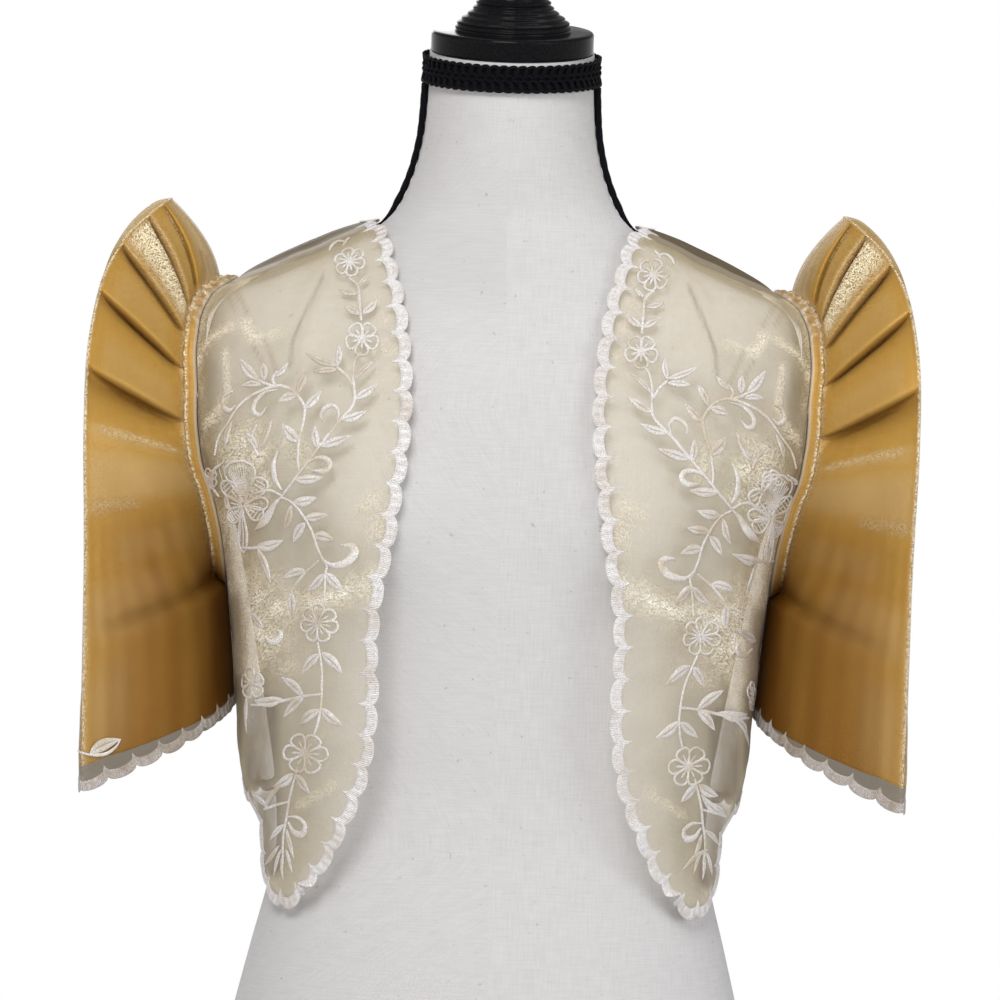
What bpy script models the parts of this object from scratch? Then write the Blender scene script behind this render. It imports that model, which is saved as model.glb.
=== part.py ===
import bpy
import numpy as np
from mathutils.bvhtree import BVHTree

# Every size is in millimetres, the meshes are made in metres.
MM = 0.001

# Cloth
BODICE_WALL = 1.2
SLEEVE_WALL = 1.1
SEAM_GAP = 0.3
HALF_SEAM = 0.2
FORM_CLEARANCE = 1.6
BRAID_CLEARANCE = 3.3

# Armhole oval, seen from the side, and the band between bodice and sleeve
ARMHOLE_TOP = 615.5
ARMHOLE_BOTTOM = 431.0
ARMHOLE_HALF_DEPTH = 56.0
BAND_WIDTH = 6.6
BAND_WALL = 1.2
SLEEVE_START = 1.3

# Scalloped edges
SCALLOP_PITCH = 19.5
SCALLOP_WIDE = 6.6
SCALLOP_NARROW = 4.4
SCALLOP_WALL = 1.6
LEAST_STEP = 1.6

# Bust of the form, and how the cloth falls from it
BUST_OUT = 82.0
BUST_HEIGHT = 462.0
BUST_SPREAD = 42.0
BUST_ABOVE = 50.0
FORM_BUST_DEPTH = 21.0
FORM_BUST_BELOW = 42.0
CLOTH_BUST_DEPTH = 11.0
CLOTH_BUST_BELOW = 150.0

# Braids on the form
NECK_BRAID_LOW = 737.5
NECK_BRAID_HIGH = 754.5
NECK_BRAID_THICK = 3.1
SHOULDER_BRAID_HALF = 4.4
SHOULDER_BRAID_THICK = 1.6
SIDE_NECK_BRAID_THICK = 2.8
SHOULDER_BRAID_LOW = 613.0

# Mesh fineness
FORM_AROUND = 32
CAP_AROUND = 22
FRONT_ACROSS = 14
FRONT_ARMHOLE_ROWS = 11
FRONT_SIDE_ROWS = 7
BACK_SHOULDER_STEPS = 4
BACK_NECK_STEPS = 10
RETURN_STEPS = 5
FACE_STEPS = 4
SCALLOP_STEPS = 3

# Sections of the form, from its flat foot to the top of the neck
BODY_COLUMNS = ("height", "half_width", "front", "back", "squareness", "tilt")
FORM_SECTIONS = (
    (0.0, 160.0, 100.0, 108.0, 2.3, 0.0),
    (14.0, 167.0, 104.0, 113.0, 2.3, 0.0),
    (55.0, 172.0, 106.0, 116.0, 2.3, 0.0),
    (105.0, 169.0, 107.0, 114.0, 2.3, 0.0),
    (155.0, 159.0, 105.0, 102.0, 2.3, 0.0),
    (205.0, 147.0, 99.0, 87.0, 2.3, 0.0),
    (245.0, 137.0, 93.0, 77.0, 2.3, 0.0),
    (270.0, 133.0, 91.0, 75.0, 2.3, 0.0),
    (300.0, 134.5, 92.0, 77.0, 2.3, 0.0),
    (340.0, 140.5, 97.0, 84.0, 2.3, 0.0),
    (385.0, 148.5, 103.0, 93.0, 2.3, 0.0),
    (425.0, 156.0, 108.0, 100.0, 2.3, 0.0),
    (455.0, 162.0, 110.5, 104.0, 2.3, 0.0),
    (485.0, 171.0, 111.5, 106.5, 2.3, 0.0),
    (515.0, 180.0, 111.0, 108.0, 2.3, 0.0),
    (545.0, 185.0, 108.0, 107.0, 2.3, 0.0),
    (572.0, 185.0, 100.5, 103.0, 2.3, 0.0),
    (592.0, 181.0, 92.0, 95.5, 2.3, 0.0),
    (604.0, 173.0, 85.0, 88.5, 2.3, 0.0),
    (612.0, 161.0, 79.0, 82.5, 2.3, 0.0),
    (621.5, 140.5, 72.0, 75.0, 2.25, 0.0),
    (631.5, 119.0, 65.0, 68.0, 2.2, 0.0),
    (641.5, 98.0, 58.0, 61.0, 2.15, 0.0),
    (651.0, 79.0, 53.0, 54.0, 2.1, 0.01),
    (660.0, 70.0, 52.5, 50.5, 2.05, 0.03),
    (672.0, 63.5, 54.0, 47.5, 2.0, 0.05),
    (690.0, 57.0, 57.0, 44.5, 2.0, 0.09),
    (710.0, 53.0, 59.5, 42.5, 2.0, 0.13),
    (730.0, 51.5, 61.0, 41.5, 2.0, 0.18),
    (757.0, 50.6, 61.0, 40.5, 2.0, 0.22),
)

# Sections of the bodice cloth, which stands a little off the form
CLOTH_SECTIONS = (
    (225.0, 142.0, 106.0, 95.0, 2.4, 0.0),
    (245.0, 143.5, 107.5, 95.5, 2.4, 0.0),
    (260.0, 145.5, 109.0, 96.0, 2.4, 0.0),
    (280.0, 147.5, 112.0, 96.5, 2.4, 0.0),
    (300.0, 153.0, 115.0, 97.5, 2.4, 0.0),
    (320.0, 157.0, 118.5, 99.0, 2.4, 0.0),
    (350.0, 160.0, 122.0, 101.5, 2.4, 0.0),
    (400.0, 164.5, 124.5, 106.5, 2.4, 0.0),
    (431.0, 168.0, 125.0, 109.5, 2.4, 0.0),
    (451.4, 173.1, 124.5, 111.0, 2.4, 0.0),
    (480.7, 184.4, 124.0, 112.5, 2.4, 0.0),
    (504.5, 195.0, 123.0, 113.0, 2.4, 0.0),
    (530.0, 200.0, 120.0, 113.0, 2.4, 0.0),
    (563.0, 201.0, 111.0, 108.5, 2.4, 0.0),
    (585.0, 197.0, 101.5, 102.5, 2.4, 0.0),
    (602.7, 186.0, 91.0, 93.5, 2.4, 0.0),
    (615.5, 165.5, 82.5, 85.5, 2.4, 0.0),
    (625.0, 145.0, 76.0, 79.0, 2.4, 0.0),
    (635.0, 123.0, 69.0, 72.0, 2.4, 0.0),
    (645.0, 101.0, 62.0, 65.0, 2.4, 0.0),
    (655.0, 79.0, 55.0, 57.5, 2.4, 0.0),
    (662.0, 66.0, 51.0, 53.0, 2.4, 0.0),
)

# Edge of each front, from below the shoulder seam to the inner side of the tail
FRONT_EDGE_COLUMNS = ("height", "from_centre")
FRONT_EDGE = (
    (646.0, 82.0),
    (637.0, 77.6),
    (624.6, 74.3),
    (608.0, 69.4),
    (593.0, 66.0),
    (576.5, 63.6),
    (558.0, 61.6),
    (537.0, 60.7),
    (521.6, 61.2),
    (502.0, 62.7),
    (485.0, 65.0),
    (463.6, 67.5),
    (447.0, 70.4),
    (427.0, 74.4),
    (405.7, 76.5),
    (387.0, 76.9),
    (366.0, 75.9),
    (351.0, 76.2),
    (330.6, 78.0),
    (314.0, 81.0),
    (294.0, 87.5),
    (270.0, 98.0),
    (258.0, 104.5),
    (247.5, 112.0),
)
NECK_POINT_HEIGHT = 651.7

# Tail and hem of each front, by the angle from the middle of the front
HEM_COLUMNS = ("angle", "height")
FRONT_HEM = (
    (47.9, 247.5),
    (50.9, 242.3),
    (54.1, 238.3),
    (57.5, 236.2),
    (61.2, 236.0),
    (65.3, 238.6),
    (69.1, 243.6),
    (71.1, 250.5),
    (71.2, 260.0),
    (70.2, 273.0),
    (71.8, 287.0),
    (77.0, 297.5),
    (83.5, 301.2),
    (90.0, 301.8),
)
BACK_NECK = (
    (90.0, 651.7),
    (112.0, 650.0),
    (140.0, 648.0),
    (180.0, 647.2),
)
BACK_HEM = (
    (90.0, 301.8),
    (130.0, 301.0),
    (180.0, 299.5),
)

# Soft folds of the bodice: where each starts and ends in the front view, its half width,
# and how far it stands out, or sinks when below nought
FOLD_COLUMNS = ("from_out", "from_height", "to_out", "to_height", "half_width", "rise")
FRONT_FOLDS = (
    (104.0, 632.0, 131.0, 560.0, 9.0, 1.6),
    (118.0, 628.0, 146.0, 566.0, 8.0, -1.2),
    (163.0, 600.0, 176.0, 560.0, 7.0, 1.2),
    (140.0, 520.0, 170.0, 500.0, 12.0, 1.4),
    (104.0, 440.0, 96.0, 285.0, 11.0, 1.8),
    (122.0, 455.0, 124.0, 270.0, 10.0, -1.8),
    (142.0, 440.0, 143.0, 300.0, 9.0, 2.2),
)
BACK_FOLDS = (
    (30.0, 560.0, 26.0, 300.0, 16.0, 2.0),
    (64.0, 540.0, 62.0, 300.0, 15.0, -1.6),
    (98.0, 530.0, 96.0, 300.0, 15.0, 2.4),
    (128.0, 470.0, 128.0, 300.0, 11.0, -1.4),
    (150.0, 600.0, 120.0, 545.0, 12.0, 1.4),
)

# Inner seam of the sleeve, below the armhole
UNDERARM_COLUMNS = ("height", "out")
UNDERARM_SEAM = (
    (352.0, 163.4),
    (392.0, 168.4),
    (431.0, 177.2),
)

# The front half of a sleeve, from hem to top: height of the seam, the pressed crease, the middle
# of the outer face, and how far the cloth between seam and crease bows in, forward and up
SLEEVE_COLUMNS = (
    "seam_height", "crease_out", "crease_ahead", "crease_height", "face_out", "face_height",
    "bow_in", "bow_ahead", "bow_up",
)
SLEEVE_ROWS = (
    (358.0, 247.0, 98.0, 304.5, 251.8, 302.5, 33.0, 33.0, 5.0),
    (392.0, 247.5, 100.0, 345.0, 252.8, 345.0, 31.0, 31.0, 4.5),
    (431.0, 248.0, 101.0, 392.0, 252.7, 392.0, 28.0, 29.0, 3.5),
    (451.0, 248.3, 101.0, 428.0, 252.6, 428.0, 14.0, 16.0, 2.0),
    (480.0, 249.3, 100.5, 470.0, 253.5, 470.0, 7.0, 9.0, 1.0),
    (505.0, 251.0, 97.5, 513.0, 255.4, 515.0, 4.0, 6.0, 1.0),
    (530.0, 251.6, 88.0, 557.0, 255.0, 562.0, 3.0, 5.0, 2.0),
    (562.0, 246.7, 68.0, 604.0, 249.3, 610.0, 3.0, 4.0, 3.0),
    (585.5, 235.5, 47.0, 633.5, 239.0, 640.0, 4.0, 3.0, 4.0),
    (602.7, 222.5, 28.0, 652.0, 226.5, 656.0, 8.0, 3.0, 3.0),
    (610.0, 214.5, 14.0, 660.0, 218.0, 661.6, 10.0, 2.0, 1.5),
    (615.5, 210.0, 0.0, 663.7, 210.0, 663.7, 11.4, 0.0, 0.0),
)
PLEAT_ROWS = (6, 7, 8, 9, 10)
PLEAT_EDGE = 0.05
PLEAT_VALLEY = 0.93
PLEAT_RISE = 2.6
PLEAT_MIDDLE = 0.7
PLEAT_SINK = 4.2
SMOOTH_ROWS = (0.5, 1.0, 1.5, 2.0, 2.6, 3.2, 4.0, 4.8, 5.5)
GOLD_HEM_RAISED = 0.12

# Turned cap on the neck: radius and height above the neck
CAP_PROFILE = (
    (48.8, 0.3),
    (50.4, 1.6),
    (50.4, 12.0),
    (48.4, 14.0),
    (36.0, 14.6),
    (35.4, 17.6),
    (33.6, 20.4),
    (30.0, 23.6),
    (25.4, 27.2),
    (22.6, 31.4),
    (21.2, 36.4),
    (22.6, 40.0),
    (19.6, 43.6),
    (10.6, 47.0),
    (10.0, 53.0),
    (14.6, 60.0),
    (14.6, 67.0),
    (9.0, 74.0),
)
CAP_TOP = 76.0


def clear_scene():
    for item in list(bpy.data.objects):
        bpy.data.objects.remove(item)


def column(table, names, name):
    return np.array([row[names.index(name)] for row in table])


def smooth_value(keys, values, at):
    """A curve through every row that never swings past its neighbours."""
    at = np.clip(np.asarray(at, float), keys[0], keys[-1])
    step = np.diff(keys)
    slope = np.diff(values) / step
    tangent = np.zeros(len(keys))
    tangent[0] = slope[0]
    tangent[-1] = slope[-1]
    product = slope[:-1] * slope[1:]
    total = np.where(product > 0, slope[:-1] + slope[1:], 1.0)
    tangent[1:-1] = np.where(product > 0, 2.0 * product / total, 0.0)
    index = np.clip(np.searchsorted(keys, at, side="right") - 1, 0, len(step) - 1)
    part = (at - keys[index]) / step[index]
    start = values[index] + step[index] * part * (1 - part) ** 2 * tangent[index]
    rise = (values[index + 1] - values[index]) * part * part * (3 - 2 * part)
    finish = step[index] * part * part * (part - 1) * tangent[index + 1]
    return start + rise + finish


def section_value(body, name, height):
    keys = column(body, BODY_COLUMNS, "height")
    return smooth_value(keys, column(body, BODY_COLUMNS, name), height)


def body_point(body, angle, height):
    """Point on a section; the angle runs from the middle of the front to the +X side."""
    angle = np.asarray(angle, float)
    height = np.asarray(height, float)
    power = 2.0 / section_value(body, "squareness", height)
    side = np.sin(angle)
    ahead = np.cos(angle)
    front = section_value(body, "front", height)
    back = section_value(body, "back", height)
    depth = np.where(ahead > 0, front, back)
    x = section_value(body, "half_width", height) * np.sign(side) * np.abs(side) ** power
    y = -depth * np.sign(ahead) * np.abs(ahead) ** power
    return np.stack([x, y, height + section_value(body, "tilt", height) * y], axis=-1)


def bust_swell(points, angle, depth, below):
    across = np.exp(-(((np.abs(points[..., 0]) - BUST_OUT) / BUST_SPREAD) ** 2))
    over = points[..., 2] - BUST_HEIGHT
    reach = np.where(over > 0, BUST_ABOVE, below)
    ahead = np.clip(np.cos(angle), 0, 1) ** 0.5
    swollen = points.copy()
    swollen[..., 1] -= depth * across * np.exp(-((over / reach) ** 2)) * ahead
    return swollen


def form_point(angle, height):
    points = body_point(FORM_SECTIONS, angle, height)
    return bust_swell(points, angle, FORM_BUST_DEPTH, FORM_BUST_BELOW)


def fold_rise(points, folds):
    """How far the soft folds lift the cloth at each point."""
    rise = np.zeros(points.shape[:-1])
    for row in folds:
        fold = dict(zip(FOLD_COLUMNS, row))
        start = np.array([fold["from_out"], fold["from_height"]])
        along = np.array([fold["to_out"], fold["to_height"]]) - start
        place = np.stack([np.abs(points[..., 0]), points[..., 2]], axis=-1) - start
        part = np.clip((place @ along) / (along @ along), 0, 1)
        away = np.linalg.norm(place - part[..., None] * along, axis=-1)
        rise += fold["rise"] * np.exp(-((away / fold["half_width"]) ** 2))
    return rise


def cloth_point(angle, height, folds):
    points = body_point(CLOTH_SECTIONS, angle, height)
    width = section_value(CLOTH_SECTIONS, "half_width", height)
    depth = section_value(CLOTH_SECTIONS, "front", height)
    outward = np.stack([points[..., 0] / width ** 2, points[..., 1] / depth ** 2], axis=-1)
    outward /= np.linalg.norm(outward, axis=-1, keepdims=True)
    points[..., :2] += outward * fold_rise(points, folds)[..., None]
    return bust_swell(points, angle, CLOTH_BUST_DEPTH, CLOTH_BUST_BELOW)


def angle_of(out, height):
    """Angle at which the cloth's section is this far from the middle."""
    width = section_value(CLOTH_SECTIONS, "half_width", height)
    power = section_value(CLOTH_SECTIONS, "squareness", height) / 2
    return np.arcsin(np.clip(out / width, 0, 1) ** power)


def even_line(line, count, folds):
    """The same line in equal steps, measured on the cloth."""
    points = cloth_point(line[:, 0], line[:, 1], folds)
    steps = np.linalg.norm(np.diff(points, axis=0), axis=1)
    length = np.concatenate([[0.0], np.cumsum(steps)])
    wanted = np.linspace(0, length[-1], count + 1)
    angle = np.interp(wanted, length, line[:, 0])
    height = np.interp(wanted, length, line[:, 1])
    return np.stack([angle, height], axis=-1)


def dense_line(table):
    """Angle and height along a hem or neck table."""
    rows = np.arange(len(table), dtype=float)
    at = np.linspace(0, rows[-1], 40 * len(table))
    angle = smooth_value(rows, np.radians(column(table, HEM_COLUMNS, "angle")), at)
    height = smooth_value(rows, column(table, HEM_COLUMNS, "height"), at)
    return np.stack([angle, height], axis=-1)


def front_edge_line():
    rows = np.arange(len(FRONT_EDGE), dtype=float)
    at = np.linspace(0, rows[-1], 40 * len(FRONT_EDGE))
    height = smooth_value(rows, column(FRONT_EDGE, FRONT_EDGE_COLUMNS, "height"), at)
    out = smooth_value(rows, column(FRONT_EDGE, FRONT_EDGE_COLUMNS, "from_centre"), at)
    line = np.stack([angle_of(out, height), height], axis=-1)
    top = np.array([[np.pi / 2, NECK_POINT_HEIGHT]])
    return np.concatenate([top, line])


def armhole_angle(height, behind):
    """Angle of the armhole's edge on the bodice at each height, in front or behind."""
    middle = (ARMHOLE_TOP + ARMHOLE_BOTTOM) / 2
    half = (ARMHOLE_TOP - ARMHOLE_BOTTOM) / 2
    level = np.clip((height - middle) / half, -1, 1)
    depth = ARMHOLE_HALF_DEPTH * np.sqrt(1 - level ** 2)
    reach = section_value(CLOTH_SECTIONS, "back" if behind else "front", height)
    power = section_value(CLOTH_SECTIONS, "squareness", height) / 2
    turn = np.arccos(np.clip(depth / reach, 0, 1) ** power)
    return np.pi - turn if behind else turn


def armhole_heights(count):
    turn = np.linspace(np.pi / 2, -np.pi / 2, count)
    middle = (ARMHOLE_TOP + ARMHOLE_BOTTOM) / 2
    half = (ARMHOLE_TOP - ARMHOLE_BOTTOM) / 2
    return middle + half * np.sin(turn)


def side_line(behind, folds):
    """Armhole edge, then the side seam down to the hem."""
    height = armhole_heights(400)
    armhole = np.stack([armhole_angle(height, behind), height], axis=-1)
    armhole = even_line(armhole, FRONT_ARMHOLE_ROWS, folds)
    hem = FRONT_HEM[-1][1]
    seam = np.array([[np.pi / 2, ARMHOLE_BOTTOM], [np.pi / 2, hem]])
    seam = even_line(seam, FRONT_SIDE_ROWS, folds)
    return np.concatenate([armhole, seam[1:]])


def patch(top, bottom, left, right):
    """Grid of angles and heights filled in between its four sides."""
    u = np.linspace(0, 1, len(top))[None, :, None]
    v = np.linspace(0, 1, len(left))[:, None, None]
    sides = (1 - u) * left[:, None] + u * right[:, None]
    ends = (1 - v) * top[None] + v * bottom[None]
    corners = (1 - v) * ((1 - u) * top[0] + u * top[-1])
    corners = corners + v * ((1 - u) * bottom[0] + u * bottom[-1])
    return sides + ends - corners


def triangle_area(points, a, b, c):
    return np.linalg.norm(np.cross(points[b] - points[a], points[c] - points[a]))


def split_quad(points, quad):
    """Two triangles, along the diagonal that leaves the larger of the smaller ones."""
    a, b, c, d = quad
    one = min(triangle_area(points, a, b, c), triangle_area(points, a, c, d))
    two = min(triangle_area(points, a, b, d), triangle_area(points, b, c, d))
    if one >= two:
        return [(a, b, c), (a, c, d)]
    return [(a, b, d), (b, c, d)]


def grid_sheet(grid):
    """Points and triangles of a grid of rows; seen with rows going down it faces the viewer."""
    rows, across = grid.shape[:2]
    points = grid.reshape(-1, 3)
    triangles = []
    for j in range(rows - 1):
        for i in range(across - 1):
            a = j * across + i
            triangles += split_quad(points, (a, a + across, a + across + 1, a + 1))
    return points, triangles


def join_sheets(sheets):
    """One sheet out of several that share points along their sides."""
    found = {}
    points = []
    triangles = []
    for part_points, part_triangles in sheets:
        index = []
        for point in part_points:
            key = tuple(np.round(point, 3) + 0.0)
            if key not in found:
                found[key] = len(points)
                points.append(point)
            index.append(found[key])
        for a, b, c in part_triangles:
            face = (index[a], index[b], index[c])
            if len(set(face)) == 3:
                triangles.append(face)
    return np.array(points), triangles


def corner_normals(points, triangles):
    """Outward directions, longer at folds so that a wall keeps its thickness there."""
    faces = np.array(triangles)
    a, b, c = points[faces[:, 0]], points[faces[:, 1]], points[faces[:, 2]]
    normal = np.cross(b - a, c - a)
    normal /= np.linalg.norm(normal, axis=1, keepdims=True)
    total = np.zeros_like(points)
    for k in range(3):
        here = points[faces[:, k]]
        one = points[faces[:, (k + 1) % 3]] - here
        two = points[faces[:, (k + 2) % 3]] - here
        cosine = (one * two).sum(axis=1)
        cosine /= np.linalg.norm(one, axis=1) * np.linalg.norm(two, axis=1)
        turn = np.arccos(np.clip(cosine, -1, 1))
        np.add.at(total, faces[:, k], normal * turn[:, None])
    total /= np.linalg.norm(total, axis=1, keepdims=True)
    lean = np.full(len(points), 1.0)
    for k in range(3):
        np.minimum.at(lean, faces[:, k], (normal * total[faces[:, k]]).sum(axis=1))
    return total / np.clip(lean, 0.7, 1.0)[:, None]


def open_edges(triangles):
    """Edges with a face on one side only, in their face's direction."""
    edges = {}
    for a, b, c in triangles:
        for edge in ((a, b), (b, c), (c, a)):
            edges[edge] = True
    return [edge for edge in edges if (edge[1], edge[0]) not in edges]


def thicken(points, triangles, normals, low, high):
    """A closed wall between two heights over the sheet."""
    count = len(points)
    walls = np.concatenate([points + normals * high, points + normals * low])
    faces = list(triangles)
    faces += [(c + count, b + count, a + count) for a, b, c in triangles]
    for a, b in open_edges(triangles):
        faces.append((b, a, a + count))
        faces.append((b, a + count, b + count))
    return walls, faces


def volume(points, faces):
    total = 0.0
    for face in faces:
        for k in range(1, len(face) - 1):
            a, b, c = points[face[0]], points[face[k]], points[face[k + 1]]
            total += float(a @ np.cross(b, c))
    return total / 6


def add_object(name, points, faces, material):
    if volume(points, faces) < 0:
        faces = [tuple(reversed(face)) for face in faces]
    mesh = bpy.data.meshes.new(name)
    mesh.from_pydata([tuple(point) for point in points * MM], [], faces)
    mesh.update()
    item = bpy.data.objects.new(name, mesh)
    bpy.context.scene.collection.objects.link(item)
    mesh.materials.append(material)
    return item


def plain_material(name, colour, roughness, metallic=0.0):
    material = bpy.data.materials.new(name)
    material.use_nodes = True
    shader = material.node_tree.nodes["Principled BSDF"]
    shader.inputs["Base Color"].default_value = (*colour, 1.0)
    shader.inputs["Roughness"].default_value = roughness
    shader.inputs["Metallic"].default_value = metallic
    return material


def mirrored(points, faces):
    return points * np.array([-1.0, 1.0, 1.0]), [tuple(reversed(face)) for face in faces]


def stacked_rings(rings):
    """A solid through closed rings, its first and last ring filled flat."""
    around = len(rings[0])
    points = np.concatenate(rings)
    faces = []
    for j in range(len(rings) - 1):
        for i in range(around):
            a = j * around + i
            b = j * around + (i + 1) % around
            faces += split_quad(points, (a, b, b + around, a + around))
    faces.append(tuple(reversed(range(around))))
    faces.append(tuple(range((len(rings) - 1) * around, len(rings) * around)))
    return points, faces


def form_torso():
    angle = np.linspace(0, 2 * np.pi, FORM_AROUND, endpoint=False)
    heights = column(FORM_SECTIONS, BODY_COLUMNS, "height")
    rings = [form_point(angle, np.full(FORM_AROUND, height)) for height in heights]
    return stacked_rings(rings)


def neck_frame():
    """Middle of the neck's top and the directions of its tilted plane."""
    last = dict(zip(BODY_COLUMNS, FORM_SECTIONS[-1]))
    middle = (last["back"] - last["front"]) / 2
    centre = np.array([0.0, middle, last["height"] + last["tilt"] * middle])
    up = np.array([0.0, -last["tilt"], 1.0])
    up /= np.linalg.norm(up)
    return centre, up


def form_neck_cap():
    centre, up = neck_frame()
    side = np.array([1.0, 0.0, 0.0])
    behind = np.cross(up, side)
    turn = np.linspace(0, 2 * np.pi, CAP_AROUND, endpoint=False)
    rings = []
    for radius, height in CAP_PROFILE:
        ring = centre + up * height
        ring = ring + radius * np.outer(np.cos(turn), side)
        rings.append(ring + radius * np.outer(np.sin(turn), behind))
    points, faces = stacked_rings(rings)
    peak = len(points)
    points = np.concatenate([points, [centre + up * CAP_TOP]])
    last = faces.pop()
    faces += [(last[i], last[(i + 1) % CAP_AROUND], peak) for i in range(CAP_AROUND)]
    return points, faces


def ring_band(sections):
    """A closed band; each row of sections is one ring of the loop round its cross-section."""
    around = len(sections[0])
    count = len(sections)
    points = np.concatenate(sections)
    faces = []
    for j in range(count):
        for i in range(around):
            a = j * around + i
            b = j * around + (i + 1) % around
            c = ((j + 1) % count) * around + (i + 1) % around
            d = ((j + 1) % count) * around + i
            faces += split_quad(points, (a, b, c, d))
    return points, faces


def neck_ring(height, out):
    """Ring round the neck, this far off its surface."""
    angle = np.linspace(0, 2 * np.pi, FORM_AROUND, endpoint=False)
    ring = form_point(angle, np.full(FORM_AROUND, height))
    away = ring[:, :2] - np.array([0.0, ring[:, 1].mean()])
    away /= np.linalg.norm(away, axis=1, keepdims=True)
    ring[:, :2] += away * out
    return ring


def form_neck_braid():
    low, high = NECK_BRAID_LOW, NECK_BRAID_HIGH
    middle = (low + high) / 2
    near = SEAM_GAP + 0.15
    far = near + NECK_BRAID_THICK
    return ring_band([
        neck_ring(low, near),
        neck_ring(low, far - 0.9),
        neck_ring(middle, far),
        neck_ring(high, far - 0.9),
        neck_ring(high, near),
        neck_ring(middle, near),
    ])


def form_shoulder_braid(form_tree):
    """Strip lying on the form from under the neck braid to the end of the shoulder."""
    highs = [h for h in column(FORM_SECTIONS, BODY_COLUMNS, "height")
             if SHOULDER_BRAID_LOW < h < NECK_BRAID_LOW - 4]
    heights = [SHOULDER_BRAID_LOW] + highs + [NECK_BRAID_LOW - 2.6]
    rows = []
    for height in heights:
        row = []
        for ahead in (-SHOULDER_BRAID_HALF, 0.0, SHOULDER_BRAID_HALF):
            out = float(section_value(FORM_SECTIONS, "half_width", height))
            middle = 0.0 if height < 672 else -6.0 * (height - 672) / 60
            tilt = float(section_value(FORM_SECTIONS, "tilt", height))
            spot = np.array([out, middle + ahead, height + tilt * middle])
            place, normal = form_tree.find_nearest(spot)[:2]
            row.append((np.array(place), np.array(normal)))
        rows.append(row)
    near = SEAM_GAP + 0.25
    loops = []
    for height, row in zip(heights, rows):
        thick = np.interp(height, [655, 672], [SHOULDER_BRAID_THICK, SIDE_NECK_BRAID_THICK])
        far = near + thick
        under = [place + normal * near for place, normal in row]
        over = [place + normal * far for place, normal in row]
        loops.append(np.array(under + over[::-1]))
    return stacked_rings(loops)


def clear_of_form(grid, form_tree):
    """The same grid, moved off the form wherever it lies too close."""
    moved = grid.copy()
    for index in np.ndindex(grid.shape[:-1]):
        point = grid[index]
        near_braid = abs(point[1]) < 9 and point[2] > ARMHOLE_TOP - 12
        least = BRAID_CLEARANCE if near_braid else FORM_CLEARANCE
        place, normal = form_tree.find_nearest(point)[:2]
        place, normal = np.array(place), np.array(normal)
        if (point - place) @ normal < least:
            moved[index] = place + normal * least
    return moved


def seam_flat(points, normals):
    """Walls end square on the shoulder and side seams."""
    on_seam = np.abs(points[:, 1]) < 1.0
    flat = normals.copy()
    flat[on_seam, 1] = 0.0
    length = np.linalg.norm(normals, axis=1, keepdims=True)
    return flat / np.linalg.norm(flat, axis=1, keepdims=True) * length


def outward_sheet(grid):
    """Points, triangles and wall directions of a bodice piece, facing away from the form."""
    points, triangles = grid_sheet(grid)
    normals = corner_normals(points, triangles)
    if (normals * points)[:, :2].sum() < 0:
        triangles = [tuple(reversed(face)) for face in triangles]
        normals = -normals
    return points, triangles, seam_flat(points, normals)


def bodice_front(form_tree):
    """The right front as a grid of points, rows from the shoulder seam to the hem."""
    folds = FRONT_FOLDS
    rows = FRONT_ARMHOLE_ROWS + FRONT_SIDE_ROWS
    left = even_line(front_edge_line(), rows, folds)
    right = side_line(False, folds)
    shoulder = np.array([[np.pi / 2, NECK_POINT_HEIGHT], [np.pi / 2, ARMHOLE_TOP]])
    top = even_line(shoulder, FRONT_ACROSS, folds)
    bottom = even_line(dense_line(FRONT_HEM), FRONT_ACROSS, folds)
    flat = patch(top, bottom, left, right)
    grid = cloth_point(flat[..., 0], flat[..., 1], folds)
    grid = clear_of_form(grid, form_tree)
    grid[0, :, 1] = -HALF_SEAM
    grid[FRONT_ARMHOLE_ROWS:, -1, 1] = -HALF_SEAM
    return grid


def bodice_back(form_tree):
    """The back as a grid of points, from the +X side round to the -X side."""
    folds = BACK_FOLDS
    right = side_line(True, folds)
    shoulder = np.array([[np.pi / 2, ARMHOLE_TOP], [np.pi / 2, NECK_POINT_HEIGHT]])
    shoulder = even_line(shoulder, BACK_SHOULDER_STEPS, folds)
    neck = even_line(dense_line(BACK_NECK), BACK_NECK_STEPS // 2, folds)
    half_top = np.concatenate([shoulder, neck[1:]])
    half_bottom = even_line(dense_line(BACK_HEM), len(half_top) - 1, folds)

    def other_side(line):
        return line * np.array([-1.0, 1.0]) + np.array([2 * np.pi, 0.0])

    top = np.concatenate([half_top, other_side(half_top)[-2::-1]])
    bottom = np.concatenate([half_bottom, other_side(half_bottom)[-2::-1]])
    flat = patch(top, bottom, right, other_side(right))
    grid = cloth_point(flat[..., 0], flat[..., 1], folds)
    grid = clear_of_form(grid, form_tree)
    ends = slice(0, BACK_SHOULDER_STEPS + 1)
    grid[0, ends, 1] = HALF_SEAM
    grid[0, ::-1][ends, 1] = HALF_SEAM
    grid[FRONT_ARMHOLE_ROWS:, 0, 1] = HALF_SEAM
    grid[FRONT_ARMHOLE_ROWS:, -1, 1] = HALF_SEAM
    return grid


def scallop_stations(length, closed):
    """Positions along an edge where its lobes are drawn, and the length of one scallop."""
    count = max(1, round(length / SCALLOP_PITCH))
    place = np.arange(0, count * SCALLOP_STEPS + (0 if closed else 1)) / SCALLOP_STEPS
    return place * length / count, length / count


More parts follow.
